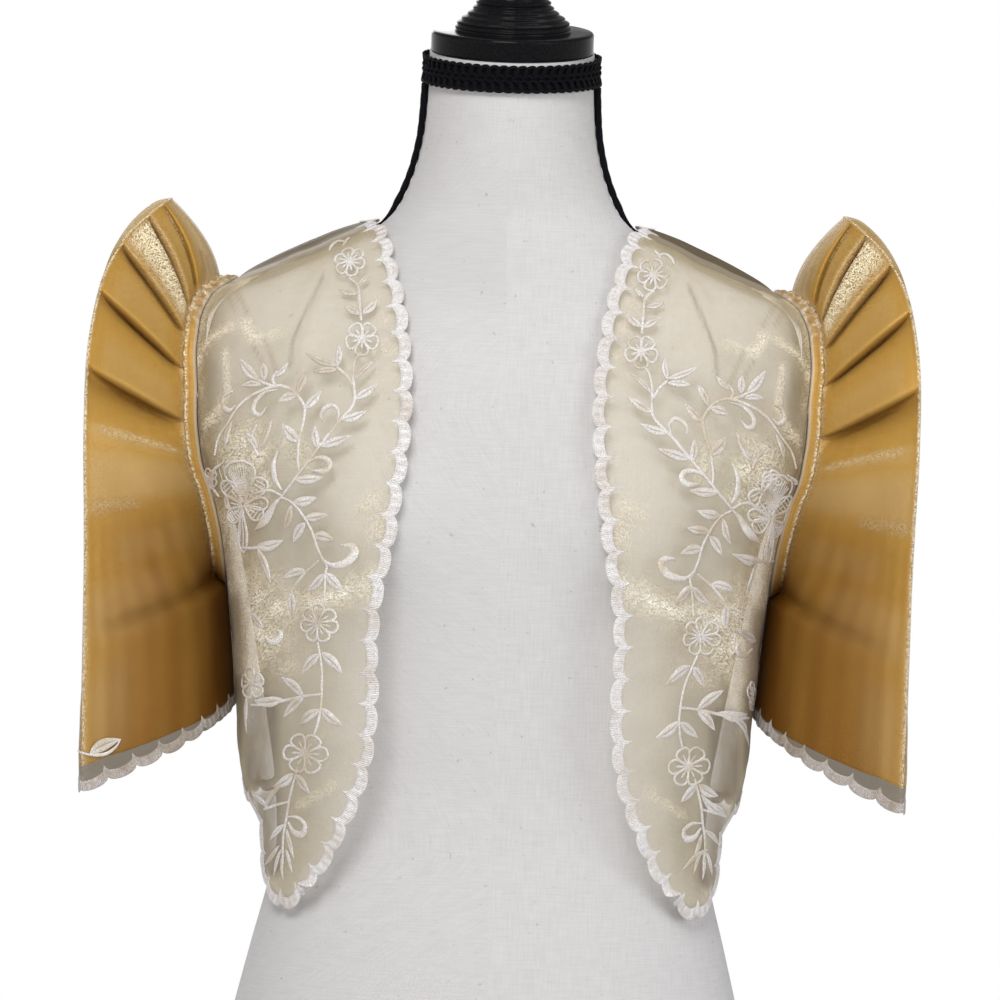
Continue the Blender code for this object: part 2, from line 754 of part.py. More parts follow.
def scalloped_strip(points, normals, outs, closed):
    """Thread-covered edge that goes on outwards from a cloth edge in rounded lobes."""
    chain = np.concatenate([points, points[:1]]) if closed else points
    ups = np.concatenate([normals, normals[:1]]) if closed else normals
    aways = np.concatenate([outs, outs[:1]]) if closed else outs
    steps = np.linalg.norm(np.diff(chain, axis=0), axis=1)
    length = np.concatenate([[0.0], np.cumsum(steps)])
    stations, pitch = scallop_stations(length[-1], closed)
    corners = length[:-1] if closed else length
    far = [s for s in stations if np.abs(corners - s).min() > LEAST_STEP]
    places = np.sort(np.concatenate([corners, far]))
    part = (places / pitch) % 1.0
    lobe = np.sqrt(np.clip(1 - (2 * part - 1) ** 2, 0, 1))
    wide = SCALLOP_NARROW + (SCALLOP_WIDE - SCALLOP_NARROW) * lobe
    at = np.stack([np.interp(places, length, chain[:, k]) for k in range(3)], axis=-1)
    up = np.stack([np.interp(places, length, ups[:, k]) for k in range(3)], axis=-1)
    away = np.stack([np.interp(places, length, aways[:, k]) for k in range(3)], axis=-1)
    half = SCALLOP_WALL / 2
    near = at + away * SEAM_GAP
    far_side = at + away * wide[:, None]
    loops = np.stack([near - up * half, near + up * half,
                      far_side + up * half, far_side - up * half], axis=1)
    if closed:
        return ring_band(list(loops))
    return stacked_rings(list(loops))


def edge_outs(chain, inner, normals):
    """Directions in the cloth's surface that leave it square to its edge."""
    along = np.gradient(chain, axis=0)
    outs = np.cross(along, normals)
    outs /= np.linalg.norm(outs, axis=1, keepdims=True)
    inward = inner - chain
    flip = (outs * inward).sum(axis=1) > 0
    outs[flip] *= -1
    return outs


def grid_edge(grid, normals, cells, next_cells):
    """Points, normals and outward directions along one side of a grid, square at its ends."""
    flat_normals = normals.reshape(*grid.shape)
    chain = np.array([grid[cell] for cell in cells])
    inner = np.array([grid[cell] for cell in next_cells])
    ups = np.array([flat_normals[cell] for cell in cells])
    ups_unit = ups / np.linalg.norm(ups, axis=1, keepdims=True)
    outs = edge_outs(chain, inner, ups_unit)
    for end in (0, -1):
        outs[end, 1] = 0.0
        outs[end] /= np.linalg.norm(outs[end])
    return chain, ups, outs


def seam_point(height, behind):
    """Where the sleeve starts: round the armhole band, or down the underarm seam."""
    if height <= ARMHOLE_BOTTOM:
        keys = column(UNDERARM_SEAM, UNDERARM_COLUMNS, "height")
        out = smooth_value(keys, column(UNDERARM_SEAM, UNDERARM_COLUMNS, "out"), height)
        return np.array([float(out), 0.0, height])
    edge = armhole_edge(height, behind)
    return edge + np.array([SEAM_GAP + BAND_WIDTH + SEAM_GAP + SLEEVE_START, 0.0, 0.0])


def armhole_edge(height, behind):
    angle = armhole_angle(height, behind)
    return cloth_point(angle, height, BACK_FOLDS if behind else FRONT_FOLDS)


def sleeve_value(name, row):
    rows = np.arange(len(SLEEVE_ROWS), dtype=float)
    return float(smooth_value(rows, column(SLEEVE_ROWS, SLEEVE_COLUMNS, name), row))


def pleat_relief(row):
    """Height of the knife pleats over the plain sleeve: each lies over the one below it."""
    first = PLEAT_ROWS[0]
    keys = [0.0, first - 1.2, first - 0.5]
    values = [0.0, 0.0, -0.8]
    for pleat in PLEAT_ROWS:
        keys += [pleat - 1 + PLEAT_VALLEY, pleat + PLEAT_EDGE, pleat + 0.5]
        values += [-PLEAT_SINK, PLEAT_RISE, PLEAT_MIDDLE]
    keys.append(len(SLEEVE_ROWS) - 1.0)
    values.append(0.0)
    return float(np.interp(row, keys, values))


def sleeve_rows(first):
    rows = [first] + list(SMOOTH_ROWS)
    for pleat in PLEAT_ROWS:
        rows += [pleat - 1 + PLEAT_VALLEY, pleat + PLEAT_EDGE, pleat + 0.5]
    return rows + [len(SLEEVE_ROWS) - 1.0]


def crease_point(row, behind):
    ahead = sleeve_value("crease_ahead", row)
    y = ahead if behind else -ahead
    return np.array([sleeve_value("crease_out", row), y, sleeve_value("crease_height", row)])


def return_row(row, behind):
    """Cloth from the seam out to the pressed crease."""
    sign = 1.0 if behind else -1.0
    start = seam_point(sleeve_value("seam_height", row), behind)
    finish = crease_point(row, behind)
    bow = np.array([
        -sleeve_value("bow_in", row),
        sign * sleeve_value("bow_ahead", row),
        sleeve_value("bow_up", row),
    ])
    knee = (start + finish) / 2 + bow
    part = np.linspace(0, 1, RETURN_STEPS + 1)[:, None]
    return start * (1 - part) ** 2 + knee * 2 * part * (1 - part) + finish * part ** 2


def return_grid(rows, behind):
    grid = np.array([return_row(row, behind) for row in rows])
    down = np.gradient(grid, axis=0)
    across = np.gradient(grid, axis=1)
    outward = np.cross(down, across)
    outward /= np.linalg.norm(outward, axis=-1, keepdims=True)
    if not behind:
        outward *= -1
    part = np.linspace(0, 1, RETURN_STEPS + 1)
    swell = (4 * part * (1 - part)) ** 0.6
    relief = np.array([pleat_relief(row) for row in rows])
    grid += outward * (relief[:, None] * swell[None, :])[..., None]
    return grid


def face_grid(rows):
    """Outer face of the sleeve, from the front crease to the back one."""
    place = np.linspace(-1, 1, FACE_STEPS + 1)[:, None]
    grid = []
    for row in rows:
        front = crease_point(row, False)
        back = crease_point(row, True)
        middle = np.array([sleeve_value("face_out", row), 0.0, sleeve_value("face_height", row)])
        line = front * place * (place - 1) / 2 + back * place * (place + 1) / 2
        grid.append(line + middle * (1 - place ** 2))
    return np.array(grid)


def sleeve_sheet(first):
    """The right sleeve as one open tube, facing out."""
    rows = sleeve_rows(first)
    front = grid_sheet(return_grid(rows, False))
    behind_points, behind_faces = grid_sheet(return_grid(rows, True))
    face_points, face_faces = grid_sheet(face_grid(rows))
    behind_faces = [tuple(reversed(face)) for face in behind_faces]
    points, triangles = join_sheets([
        front, (behind_points, behind_faces), (face_points, face_faces),
    ])
    return points, [tuple(reversed(face)) for face in triangles]


def hem_loop(points, triangles):
    """The sleeve's lower opening as one loop of points."""
    follow = dict(open_edges(triangles))
    start = min(follow, key=lambda index: points[index][2])
    loop = [start]
    while follow[loop[-1]] != start:
        loop.append(follow[loop[-1]])
    return loop


def sleeve_border(points, triangles, normals, middle_height):
    loop = hem_loop(points, triangles)
    chain = points[loop]
    ups = normals[loop]
    middle = chain + normals[loop] * middle_height
    unit = ups / np.linalg.norm(ups, axis=1, keepdims=True)
    along = np.roll(middle, -1, axis=0) - np.roll(middle, 1, axis=0)
    outs = np.cross(along, unit)
    outs /= np.linalg.norm(outs, axis=1, keepdims=True)
    outs[outs[:, 2] > 0] *= -1
    return scalloped_strip(middle, ups, outs, True)


def armhole_band(front_grid, back_grid):
    """Flat gold band round the armhole, starting along the edges of front and back."""
    front = front_grid[:FRONT_ARMHOLE_ROWS + 1, -1]
    back = back_grid[:FRONT_ARMHOLE_ROWS + 1, 0]
    ends = [(front[0] + back[0]) / 2, (front[-1] + back[-1]) / 2]
    edge = np.concatenate([ends[:1], front[1:-1], ends[1:], back[-2:0:-1]])
    centre = (ARMHOLE_TOP + ARMHOLE_BOTTOM) / 2
    away = np.stack([
        np.zeros(len(edge)),
        edge[:, 1] / ARMHOLE_HALF_DEPTH ** 2,
        (edge[:, 2] - centre) / (ARMHOLE_TOP - centre) ** 2,
    ], axis=-1)
    away /= np.linalg.norm(away, axis=1, keepdims=True)
    away *= BAND_WALL / 2
    near = edge + np.array([SEAM_GAP + BODICE_WALL / 2, 0.0, 0.0])
    far = edge + np.array([SEAM_GAP + BAND_WIDTH, 0.0, 0.0])
    return ring_band(list(np.stack([near - away, near + away, far + away, far - away], axis=1)))


def build_form(materials):
    points, faces = form_torso()
    add_object("form_torso", points, faces, materials["linen"])
    add_object("form_neck_cap", *form_neck_cap(), materials["black_gloss"])
    add_object("form_neck_braid", *form_neck_braid(), materials["black_braid"])
    tree = BVHTree.FromPolygons([tuple(point) for point in points], faces)
    braid = form_shoulder_braid(tree)
    add_object("form_braid_right", *braid, materials["black_braid_right"])
    add_object("form_braid_left", *mirrored(*braid), materials["black_braid_left"])
    return tree


def build_fronts(form_tree, materials):
    grid = bodice_front(form_tree)
    points, triangles, normals = outward_sheet(grid)
    half = BODICE_WALL / 2
    wall = thicken(points, triangles, normals, -half, half)
    add_object("bodice_front_right", *wall, materials["organza_right"])
    add_object("bodice_front_left", *mirrored(*wall), materials["organza_left"])
    rows, across = grid.shape[:2]
    cells = [(j, 0) for j in range(rows)] + [(rows - 1, i) for i in range(1, across)]
    inner = [(j, 1) for j in range(rows - 1)] + [(rows - 2, 1)]
    inner += [(rows - 2, i) for i in range(1, across)]
    border = scalloped_strip(*grid_edge(grid, normals, cells, inner), False)
    add_object("front_border_right", *border, materials["thread_right"])
    add_object("front_border_left", *mirrored(*border), materials["thread_left"])
    return grid


def build_back(form_tree, materials):
    grid = bodice_back(form_tree)
    points, triangles, normals = outward_sheet(grid)
    half = BODICE_WALL / 2
    wall = thicken(points, triangles, normals, -half, half)
    add_object("bodice_back", *wall, materials["organza_back"])
    rows, across = grid.shape[:2]
    hem = [(rows - 1, i) for i in range(across)]
    over = [(rows - 2, i) for i in range(across)]
    neck = range(BACK_SHOULDER_STEPS, across - BACK_SHOULDER_STEPS)
    top = [(0, i) for i in neck]
    under = [(1, i) for i in neck]
    for name, cells, inner in (("back_border", hem, over), ("neck_border", top, under)):
        border = scalloped_strip(*grid_edge(grid, normals, cells, inner), False)
        add_object(name, *border, materials[name])
    return grid


def build_sleeves(materials):
    low = SEAM_GAP / 2
    high = low + SLEEVE_WALL
    points, triangles = sleeve_sheet(0.0)
    normals = corner_normals(points, triangles)
    sheer = thicken(points, triangles, normals, low, high)
    add_object("sleeve_sheer_right", *sheer, materials["sheer_right"])
    add_object("sleeve_sheer_left", *mirrored(*sheer), materials["sheer_left"])
    border = sleeve_border(points, triangles, normals, (low + high) / 2)
    add_object("sleeve_border_right", *border, materials["hem_thread_right"])
    add_object("sleeve_border_left", *mirrored(*border), materials["hem_thread_left"])
    points, triangles = sleeve_sheet(GOLD_HEM_RAISED)
    normals = corner_normals(points, triangles)
    gold = thicken(points, triangles, normals, -high, -low)
    add_object("sleeve_gold_right", *gold, materials["gold_right"])
    add_object("sleeve_gold_left", *mirrored(*gold), materials["gold_left"])


def build_bands(front_grid, back_grid, materials):
    band = armhole_band(front_grid, back_grid)
    add_object("armhole_band_right", *band, materials["band_right"])
    add_object("armhole_band_left", *mirrored(*band), materials["band_left"])


def make_materials():
    linen = (0.78, 0.74, 0.70)
    black = (0.012, 0.012, 0.013)
    organza = (0.70, 0.60, 0.40)
    thread = (0.80, 0.73, 0.65)
    gold = (0.62, 0.40, 0.12)
    sheer = (0.80, 0.62, 0.28)
    kinds = {
        "linen": (linen, 0.9, 0.0),
        "black_gloss": (black, 0.15, 0.0),
        "black_braid": (black, 0.7, 0.0),
        "black_braid_right": (black, 0.7, 0.0),
        "black_braid_left": (black, 0.7, 0.0),
        "organza_right": (organza, 0.35, 0.3),
        "organza_left": (organza, 0.35, 0.3),
        "organza_back": (organza, 0.35, 0.3),
        "thread_right": (thread, 0.5, 0.0),
        "thread_left": (thread, 0.5, 0.0),
        "back_border": (thread, 0.5, 0.0),
        "neck_border": (thread, 0.5, 0.0),
        "sheer_right": (sheer, 0.3, 0.4),
        "sheer_left": (sheer, 0.3, 0.4),
        "hem_thread_right": (thread, 0.5, 0.0),
        "hem_thread_left": (thread, 0.5, 0.0),
        "gold_right": (gold, 0.35, 0.5),
        "gold_left": (gold, 0.35, 0.5),
        "band_right": (gold, 0.4, 0.4),
        "band_left": (gold, 0.4, 0.4),
    }
    return {name: plain_material(name, *look) for name, look in kinds.items()}


clear_scene()
part_materials = make_materials()
form = build_form(part_materials)
front = build_fronts(form, part_materials)
back = build_back(form, part_materials)
build_bands(front, back, part_materials)
build_sleeves(part_materials)
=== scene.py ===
import bpy
import math
import numpy as np
from mathutils import Matrix, Vector
from mathutils.bvhtree import BVHTree


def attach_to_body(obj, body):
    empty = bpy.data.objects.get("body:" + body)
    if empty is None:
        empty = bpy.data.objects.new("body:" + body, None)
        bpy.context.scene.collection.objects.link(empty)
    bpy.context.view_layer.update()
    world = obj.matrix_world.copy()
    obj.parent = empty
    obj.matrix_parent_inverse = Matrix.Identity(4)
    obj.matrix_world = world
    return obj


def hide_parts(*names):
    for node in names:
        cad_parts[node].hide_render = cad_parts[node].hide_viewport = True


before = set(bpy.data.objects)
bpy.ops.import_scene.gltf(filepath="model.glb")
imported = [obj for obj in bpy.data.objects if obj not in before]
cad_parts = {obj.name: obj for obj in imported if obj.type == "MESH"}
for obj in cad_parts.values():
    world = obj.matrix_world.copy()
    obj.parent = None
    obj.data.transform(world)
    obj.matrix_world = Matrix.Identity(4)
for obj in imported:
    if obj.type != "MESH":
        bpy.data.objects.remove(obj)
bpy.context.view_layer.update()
mm = 0.001


# small helpers

def pick(*objs):
    bpy.ops.object.select_all(action="DESELECT")
    for obj in objs:
        obj.select_set(True)
    bpy.context.view_layer.objects.active = objs[-1]


def column(table, names, name):
    return np.array([row[names.index(name)] for row in table])


def smoothValue(keys, values, at):
    # a curve through every row that never swings past its neighbours
    at = np.clip(np.asarray(at, float), keys[0], keys[-1])
    step = np.diff(keys)
    slope = np.diff(values) / step
    tangent = np.zeros(len(keys))
    tangent[0], tangent[-1] = slope[0], slope[-1]
    product = slope[:-1] * slope[1:]
    total = np.where(product > 0, slope[:-1] + slope[1:], 1.0)
    tangent[1:-1] = np.where(product > 0, 2.0 * product / total, 0.0)
    index = np.clip(np.searchsorted(keys, at, side="right") - 1, 0, len(step) - 1)
    part = (at - keys[index]) / step[index]
    start = values[index] + step[index] * part * (1 - part) ** 2 * tangent[index]
    rise = (values[index + 1] - values[index]) * part * part * (3 - 2 * part)
    finish = step[index] * part * part * (part - 1) * tangent[index + 1]
    return start + rise + finish


def unit(v):
    return v / np.maximum(np.linalg.norm(v, axis=-1, keepdims=True), 1e-9)


def gridNormals(grid):
    return unit(np.cross(np.gradient(grid, axis=0), np.gradient(grid, axis=1)))


def lengths(grid, axis):
    steps = np.linalg.norm(np.diff(grid, axis=axis), axis=-1)
    total = np.cumsum(steps, axis=axis)
    return np.insert(total, 0, 0.0, axis=axis)


def unitClip(value):
    return np.clip(value, 0, 1)


def bell(away, width):
    return np.exp(-((away / width) ** 2))


def arch(part):
    # 0 at both ends and 1 in the middle
    return unitClip(4 * part * (1 - part))


def sampled(wanted, length, line):
    # the points of a line at these lengths along it
    return np.stack([np.interp(wanted, length, values) for values in line.T], axis=-1)


def smoothRows(table, each):
    # the columns of a table as smooth curves, with so many points for each row
    table = np.array(table)
    rows = np.arange(len(table), dtype=float)
    at = np.linspace(0, rows[-1], each * len(table))
    return np.stack([smoothValue(rows, values, at) for values in table.T], axis=-1)


def linked(name, data):
    obj = bpy.data.objects.new(name, data)
    bpy.context.scene.collection.objects.link(obj)
    return obj


def meshObject(name, points, faces, uv=None, material=None):
    mesh = bpy.data.meshes.new(name)
    mesh.from_pydata((np.asarray(points) * mm).tolist(), [], [list(f) for f in faces])
    if uv is not None:
        layer = mesh.uv_layers.new(name="cloth")
        corner = np.zeros(len(mesh.loops), int)
        mesh.loops.foreach_get("vertex_index", corner)
        layer.data.foreach_set("uv", (np.asarray(uv)[corner] * mm).ravel())
    mesh.update()
    if material:
        mesh.materials.append(material)
    return linked(name, mesh)


def gridFaces(rows, across, closed=False):
    index = np.arange(rows * across).reshape(rows, across)
    if closed:
        index = np.concatenate([index, index[:, :1]], axis=1)
    quads = np.stack([index[:-1, :-1], index[1:, :-1], index[1:, 1:], index[:-1, 1:]], axis=-1)
    return quads.reshape(-1, 4)


def closingFaces(rows, around):
    # from a tube's last ring back to its first
    last = (rows - 1) * around
    return [[last + i, i, (i + 1) % around, last + (i + 1) % around] for i in range(around)]


def setMarks(obj, marks):
    # numbers for each point, which the material reads
    for mark, values in marks.items():
        layer = obj.data.attributes.new(mark, "FLOAT", "POINT")
        layer.data.foreach_set("value", np.ascontiguousarray(values, float).ravel())


def gridObject(name, grid, material, marks, flip=False):
    faces = gridFaces(*grid.shape[:2])
    if flip:
        faces = faces[:, ::-1]
    uv = np.stack([lengths(grid, 1), lengths(grid, 0)], axis=-1)
    obj = meshObject(name, grid.reshape(-1, 3), faces, uv.reshape(-1, 2), material)
    setMarks(obj, marks)
    return obj


def smoothShade(obj, angle=180.0):
    pick(obj)
    if angle >= 180:
        bpy.ops.object.shade_smooth()
    else:
        bpy.ops.object.shade_smooth_by_angle(angle=math.radians(angle))


def giveWall(obj, thickness):
    # a thin wall, centred on the sheet
    pick(obj)
    wall = obj.modifiers.new("wall", "SOLIDIFY")
    wall.thickness = thickness * mm
    wall.offset = 0.0
    wall.use_quality_normals = True
    bpy.ops.object.modifier_apply(modifier=wall.name)


def inEditMode(obj, *actions):
    # each action works on the whole mesh
    pick(obj)
    bpy.ops.object.mode_set(mode="EDIT")
    for action, values in actions:
        bpy.ops.mesh.select_all(action="SELECT")
        action(**values)
    bpy.ops.object.mode_set(mode="OBJECT")


def weld(distance):
    return bpy.ops.mesh.remove_doubles, {"threshold": distance * mm}


faceOutwards = (bpy.ops.mesh.normals_make_consistent, {"inside": False})


def turnOver(obj):
    # to the other side of the body, its faces still outwards
    obj.data.transform(Matrix.Scale(-1, 4, Vector((1, 0, 0))))
    obj.data.flip_normals()
    return obj


def mirrorCopy(obj, name):
    copy = obj.copy()
    copy.data = obj.data.copy()
    copy.name = copy.data.name = name
    bpy.context.scene.collection.objects.link(copy)
    return turnOver(copy)


def treeOf(obj):
    mesh = obj.data
    points = [v.co / mm for v in mesh.vertices]
    return BVHTree.FromPolygons(points, [tuple(p.vertices) for p in mesh.polygons])


def attach(*rows):
    # each piece stays with the body and stands for one solid
    for obj, node in rows:
        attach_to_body(obj, "root")
        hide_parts(node)
        print(obj.name, len(obj.data.polygons))


view = {"distance": 3000.0, "plane": -60.0, "height": 481.9, "lean": 0.0274}


def seen(points):
    # out and height where the camera sees a point of the left side
    size = view["distance"] / (view["distance"] - view["plane"] + points[..., 1])
    out = np.abs(points[..., 0]) * size
    height = view["height"] + (points[..., 2] - view["height"]) * size + view["lean"] * out
    return np.stack([out, height], axis=-1)


def strokeReach(places, stroke):
    # how far along a stroke each place lies, from 0 to 1, and how far off it
    start = np.array(stroke[:2])
    along = np.array(stroke[2:4]) - start
    place = places - start
    part = unitClip((place @ along) / (along @ along))
    return part, np.linalg.norm(place - part[..., None] * along, axis=-1)


def strokeMask(points, strokes):
    # soft strokes across the front: out and height of both ends, half width, strength
    total = np.zeros(points.shape[:-1])
    places = seen(points)
    for stroke in strokes:
        halfWidth, strength = stroke[4:]
        total = np.maximum(total, strength * bell(strokeReach(places, stroke)[1], halfWidth))
    return total


def ripple(u, v, seed, wave):
    # soft uneven waves, about -1 to 1
    rng = np.random.default_rng(seed)
    total = np.zeros_like(u)
    for _ in range(7):
        turn = rng.uniform(0, 2 * np.pi)
        size = wave * rng.uniform(0.7, 1.6)
        shift = rng.uniform(0, 2 * np.pi)
        total += np.sin((u * np.cos(turn) + v * np.sin(turn)) * 2 * np.pi / size + shift)
    return total / 3.2


# materials

def addNode(tree, kind, **values):
    node = tree.nodes.new(kind)
    for key, value in values.items():
        if key in node.inputs:
            node.inputs[key].default_value = value
        else:
            setattr(node, key, value)
    return node


def group(name, inputs, outputs):
    tree = bpy.data.node_groups.new(name, "ShaderNodeTree")
    for label, kind, value in inputs:
        socket = tree.interface.new_socket(name=label, in_out="INPUT", socket_type=kind)
        if value is not None:
            socket.default_value = value
    for label, kind in outputs:
        tree.interface.new_socket(name=label, in_out="OUTPUT", socket_type=kind)
    return tree, tree.nodes.new("NodeGroupInput"), tree.nodes.new("NodeGroupOutput")


def mathNode(tree, operation, a, b=None, c=None):
    node = tree.nodes.new("ShaderNodeMath")
    node.operation = operation
    for slot, value in enumerate((a, b, c)):
        if value is None:
            continue
        if isinstance(value, (int, float)):
            node.inputs[slot].default_value = value
        else:
            tree.links.new(value, node.inputs[slot])
    return node.outputs[0]


def mixColour(tree, mask, low, high):
    node = tree.nodes.new("ShaderNodeMix")
    node.data_type = "RGBA"
    for slot, value in ((0, mask), (6, low), (7, high)):
        if isinstance(value, (tuple, float, int)):
            node.inputs[slot].default_value = (*value, 1.0) if isinstance(value, tuple) else value
        else:
            tree.links.new(value, node.inputs[slot])
    return node.outputs[2]


def noise(tree, vector, scale, detail=2.0, rough=0.5):
    node = addNode(tree, "ShaderNodeTexNoise", Scale=scale, Detail=detail, Roughness=rough)
    tree.links.new(vector, node.inputs["Vector"])
    return node.outputs["Fac"]


def spread(tree, value, low, high, toLow=0.0, toHigh=1.0):
    node = addNode(tree, "ShaderNodeMapRange", **{"From Min": low, "From Max": high,
                                                  "To Min": toLow, "To Max": toHigh})
    tree.links.new(value, node.inputs["Value"])
    return node.outputs[0]


def weaveGroup():
    # crossing threads: a height for bump and a mask of threads that lie on top
    tree, into, out = group(
        "plainWeave",
        [("Vector", "NodeSocketVector", None), ("Threads", "NodeSocketFloat", 2000.0)],
        [("Height", "NodeSocketFloat"), ("Uneven", "NodeSocketFloat")])
    place = into.outputs["Vector"]
    split = tree.nodes.new("ShaderNodeSeparateXYZ")
    tree.links.new(place, split.inputs[0])
    waves, stretched = [], []
    for axis in (0, 1):
        along = mathNode(tree, "MULTIPLY", split.outputs[axis], into.outputs["Threads"])
        waves.append(mathNode(tree, "SINE", mathNode(tree, "MULTIPLY", along, math.pi)))
    soft = noise(tree, place, 420.0, 3.0, 0.6)
    height = mathNode(tree, "MULTIPLY_ADD", soft, 0.9, mathNode(tree, "MULTIPLY", *waves))
    tree.links.new(height, out.inputs["Height"])
    for scale in ((60.0, 900.0, 1.0), (900.0, 60.0, 1.0)):
        stretch = addNode(tree, "ShaderNodeMapping", Scale=scale)
        tree.links.new(place, stretch.inputs["Vector"])
        stretched.append(noise(tree, stretch.outputs[0], 1.0))
    mean = mathNode(tree, "MULTIPLY", mathNode(tree, "ADD", *stretched), 0.5)
    tree.links.new(mean, out.inputs["Uneven"])
    return tree


def glitterGroup():
    # metal threads: a fine bump height, and random speck and streak masks that say where glints are painted
    tree, into, out = group(
        "metalThreads",
        [("Vector", "NodeSocketVector", None), ("Grain", "NodeSocketFloat", 700.0),
         ("Streak", "NodeSocketFloat", 14.0)],
        [("Height", "NodeSocketFloat"), ("Spark", "NodeSocketFloat"),
         ("Cloud", "NodeSocketFloat")])
    cells = tree.nodes.new("ShaderNodeTexVoronoi")
    fine = addNode(tree, "ShaderNodeTexNoise", Detail=3.0, Roughness=0.7)
    cloud = addNode(tree, "ShaderNodeTexNoise", Detail=3.0, Roughness=0.55, Distortion=0.6)
    for node, scale in ((cells, "Grain"), (fine, "Grain"), (cloud, "Streak")):
        tree.links.new(into.outputs["Vector"], node.inputs["Vector"])
        tree.links.new(into.outputs[scale], node.inputs["Scale"])
    split = tree.nodes.new("ShaderNodeSeparateColor")
    tree.links.new(cells.outputs["Color"], split.inputs[0])
    tree.links.new(fine.outputs["Fac"], out.inputs["Height"])
    tree.links.new(spread(tree, cloud.outputs["Fac"], 0.42, 0.68), out.inputs["Cloud"])
    tree.links.new(spread(tree, split.outputs[0], 0.42, 0.72), out.inputs["Spark"])
    return tree


weave = weaveGroup()
glitter = glitterGroup()


def startMaterial(name, roughness=0.5, metallic=0.0, sheen=0.0, specular=0.5):
    material = bpy.data.materials.new(name)
    material.use_nodes = True
    tree = material.node_tree
    shader = tree.nodes["Principled BSDF"]
    for socket, value in (("Roughness", roughness), ("Metallic", metallic), ("Sheen Weight", sheen),
                          ("Specular IOR Level", specular)):
        shader.inputs[socket].default_value = value
    place = tree.nodes.new("ShaderNodeTexCoord")
    return material, tree, shader, place.outputs["UV"], place.outputs["Object"]


def useGroup(tree, made, vector, **values):
    node = tree.nodes.new("ShaderNodeGroup")
    node.node_tree = made
    for key, value in values.items():
        node.inputs[key].default_value = value
    tree.links.new(vector, node.inputs["Vector"])
    return node


def finish(material, colour, height, strength, distance):
    tree = material.node_tree
    shader = tree.nodes["Principled BSDF"]
    tree.links.new(colour, shader.inputs["Base Color"])
    node = addNode(tree, "ShaderNodeBump", Strength=strength, Distance=distance)
    tree.links.new(height, node.inputs["Height"])
    tree.links.new(node.outputs[0], shader.inputs["Normal"])
    return material


def readMark(tree, name):
    node = tree.nodes.new("ShaderNodeAttribute")
    node.attribute_name = name
    return node.outputs["Fac"]


linenLook = {"light": (0.625, 0.615, 0.620), "dark": (0.555, 0.543, 0.545),
             "fleck": (0.42, 0.40, 0.38), "threads": 1700.0}


def linenMaterial():
    material, tree, _, flat, solid = startMaterial("linen", 0.86, sheen=0.15)
    cloth = useGroup(tree, weave, flat, Threads=linenLook["threads"])
    tone = spread(tree, cloth.outputs["Uneven"], 0.32, 0.62)
    fleck = spread(tree, noise(tree, solid, 260.0), 0.70, 0.78)
    base = mixColour(tree, tone, linenLook["dark"], linenLook["light"])
    flecked = mixColour(tree, fleck, base, linenLook["fleck"])
    return finish(material, flecked, cloth.outputs["Height"], 0.35, 0.00025)


# spark colours the painted glints; fold is painted shade along creases and hollow painted shade in pleats;
# seam is the doubled seam strip painted dark with shade, and on the sleeve the sheer hem painted grey as
# the shade of its inside
organzaLook = {"thin": (1.0, 0.89, 0.65), "thick": (0.92, 0.78, 0.51), "paintedSpark": (1.0, 0.99, 0.92),
               "slant": (0.56, 0.45, 0.27), "fold": (0.34, 0.28, 0.20),
               "hollowShade": (0.22, 0.085, 0.01), "seam": (0.125, 0.092, 0.052), "cover": 0.12,
               "paintedFlash": 0.85, "grain": 1600.0, "doubled": 0.5}
sleeveLook = {"thin": (0.72, 0.46, 0.13), "thick": (0.56, 0.33, 0.07), "paintedSpark": (1.0, 0.93, 0.72),
              "slant": (0.50, 0.33, 0.11), "fold": (0.46, 0.33, 0.16), "hollowShade": (0.22, 0.085, 0.01),
              "seam": (0.23, 0.215, 0.19), "cover": 0.07, "paintedFlash": 0.65, "grain": 1450.0,
              "doubled": 0.66}


def paintedSparkle(tree, metal, amount):
    # painted glints: how bright each metal speck is painted, by the glint marked there
    paintedGlint = mathNode(tree, "MULTIPLY_ADD", metal.outputs["Cloud"], amount, readMark(tree, "paintedGlint"))
    return mathNode(tree, "MINIMUM", mathNode(tree, "MULTIPLY", metal.outputs["Spark"], paintedGlint), 1.0)


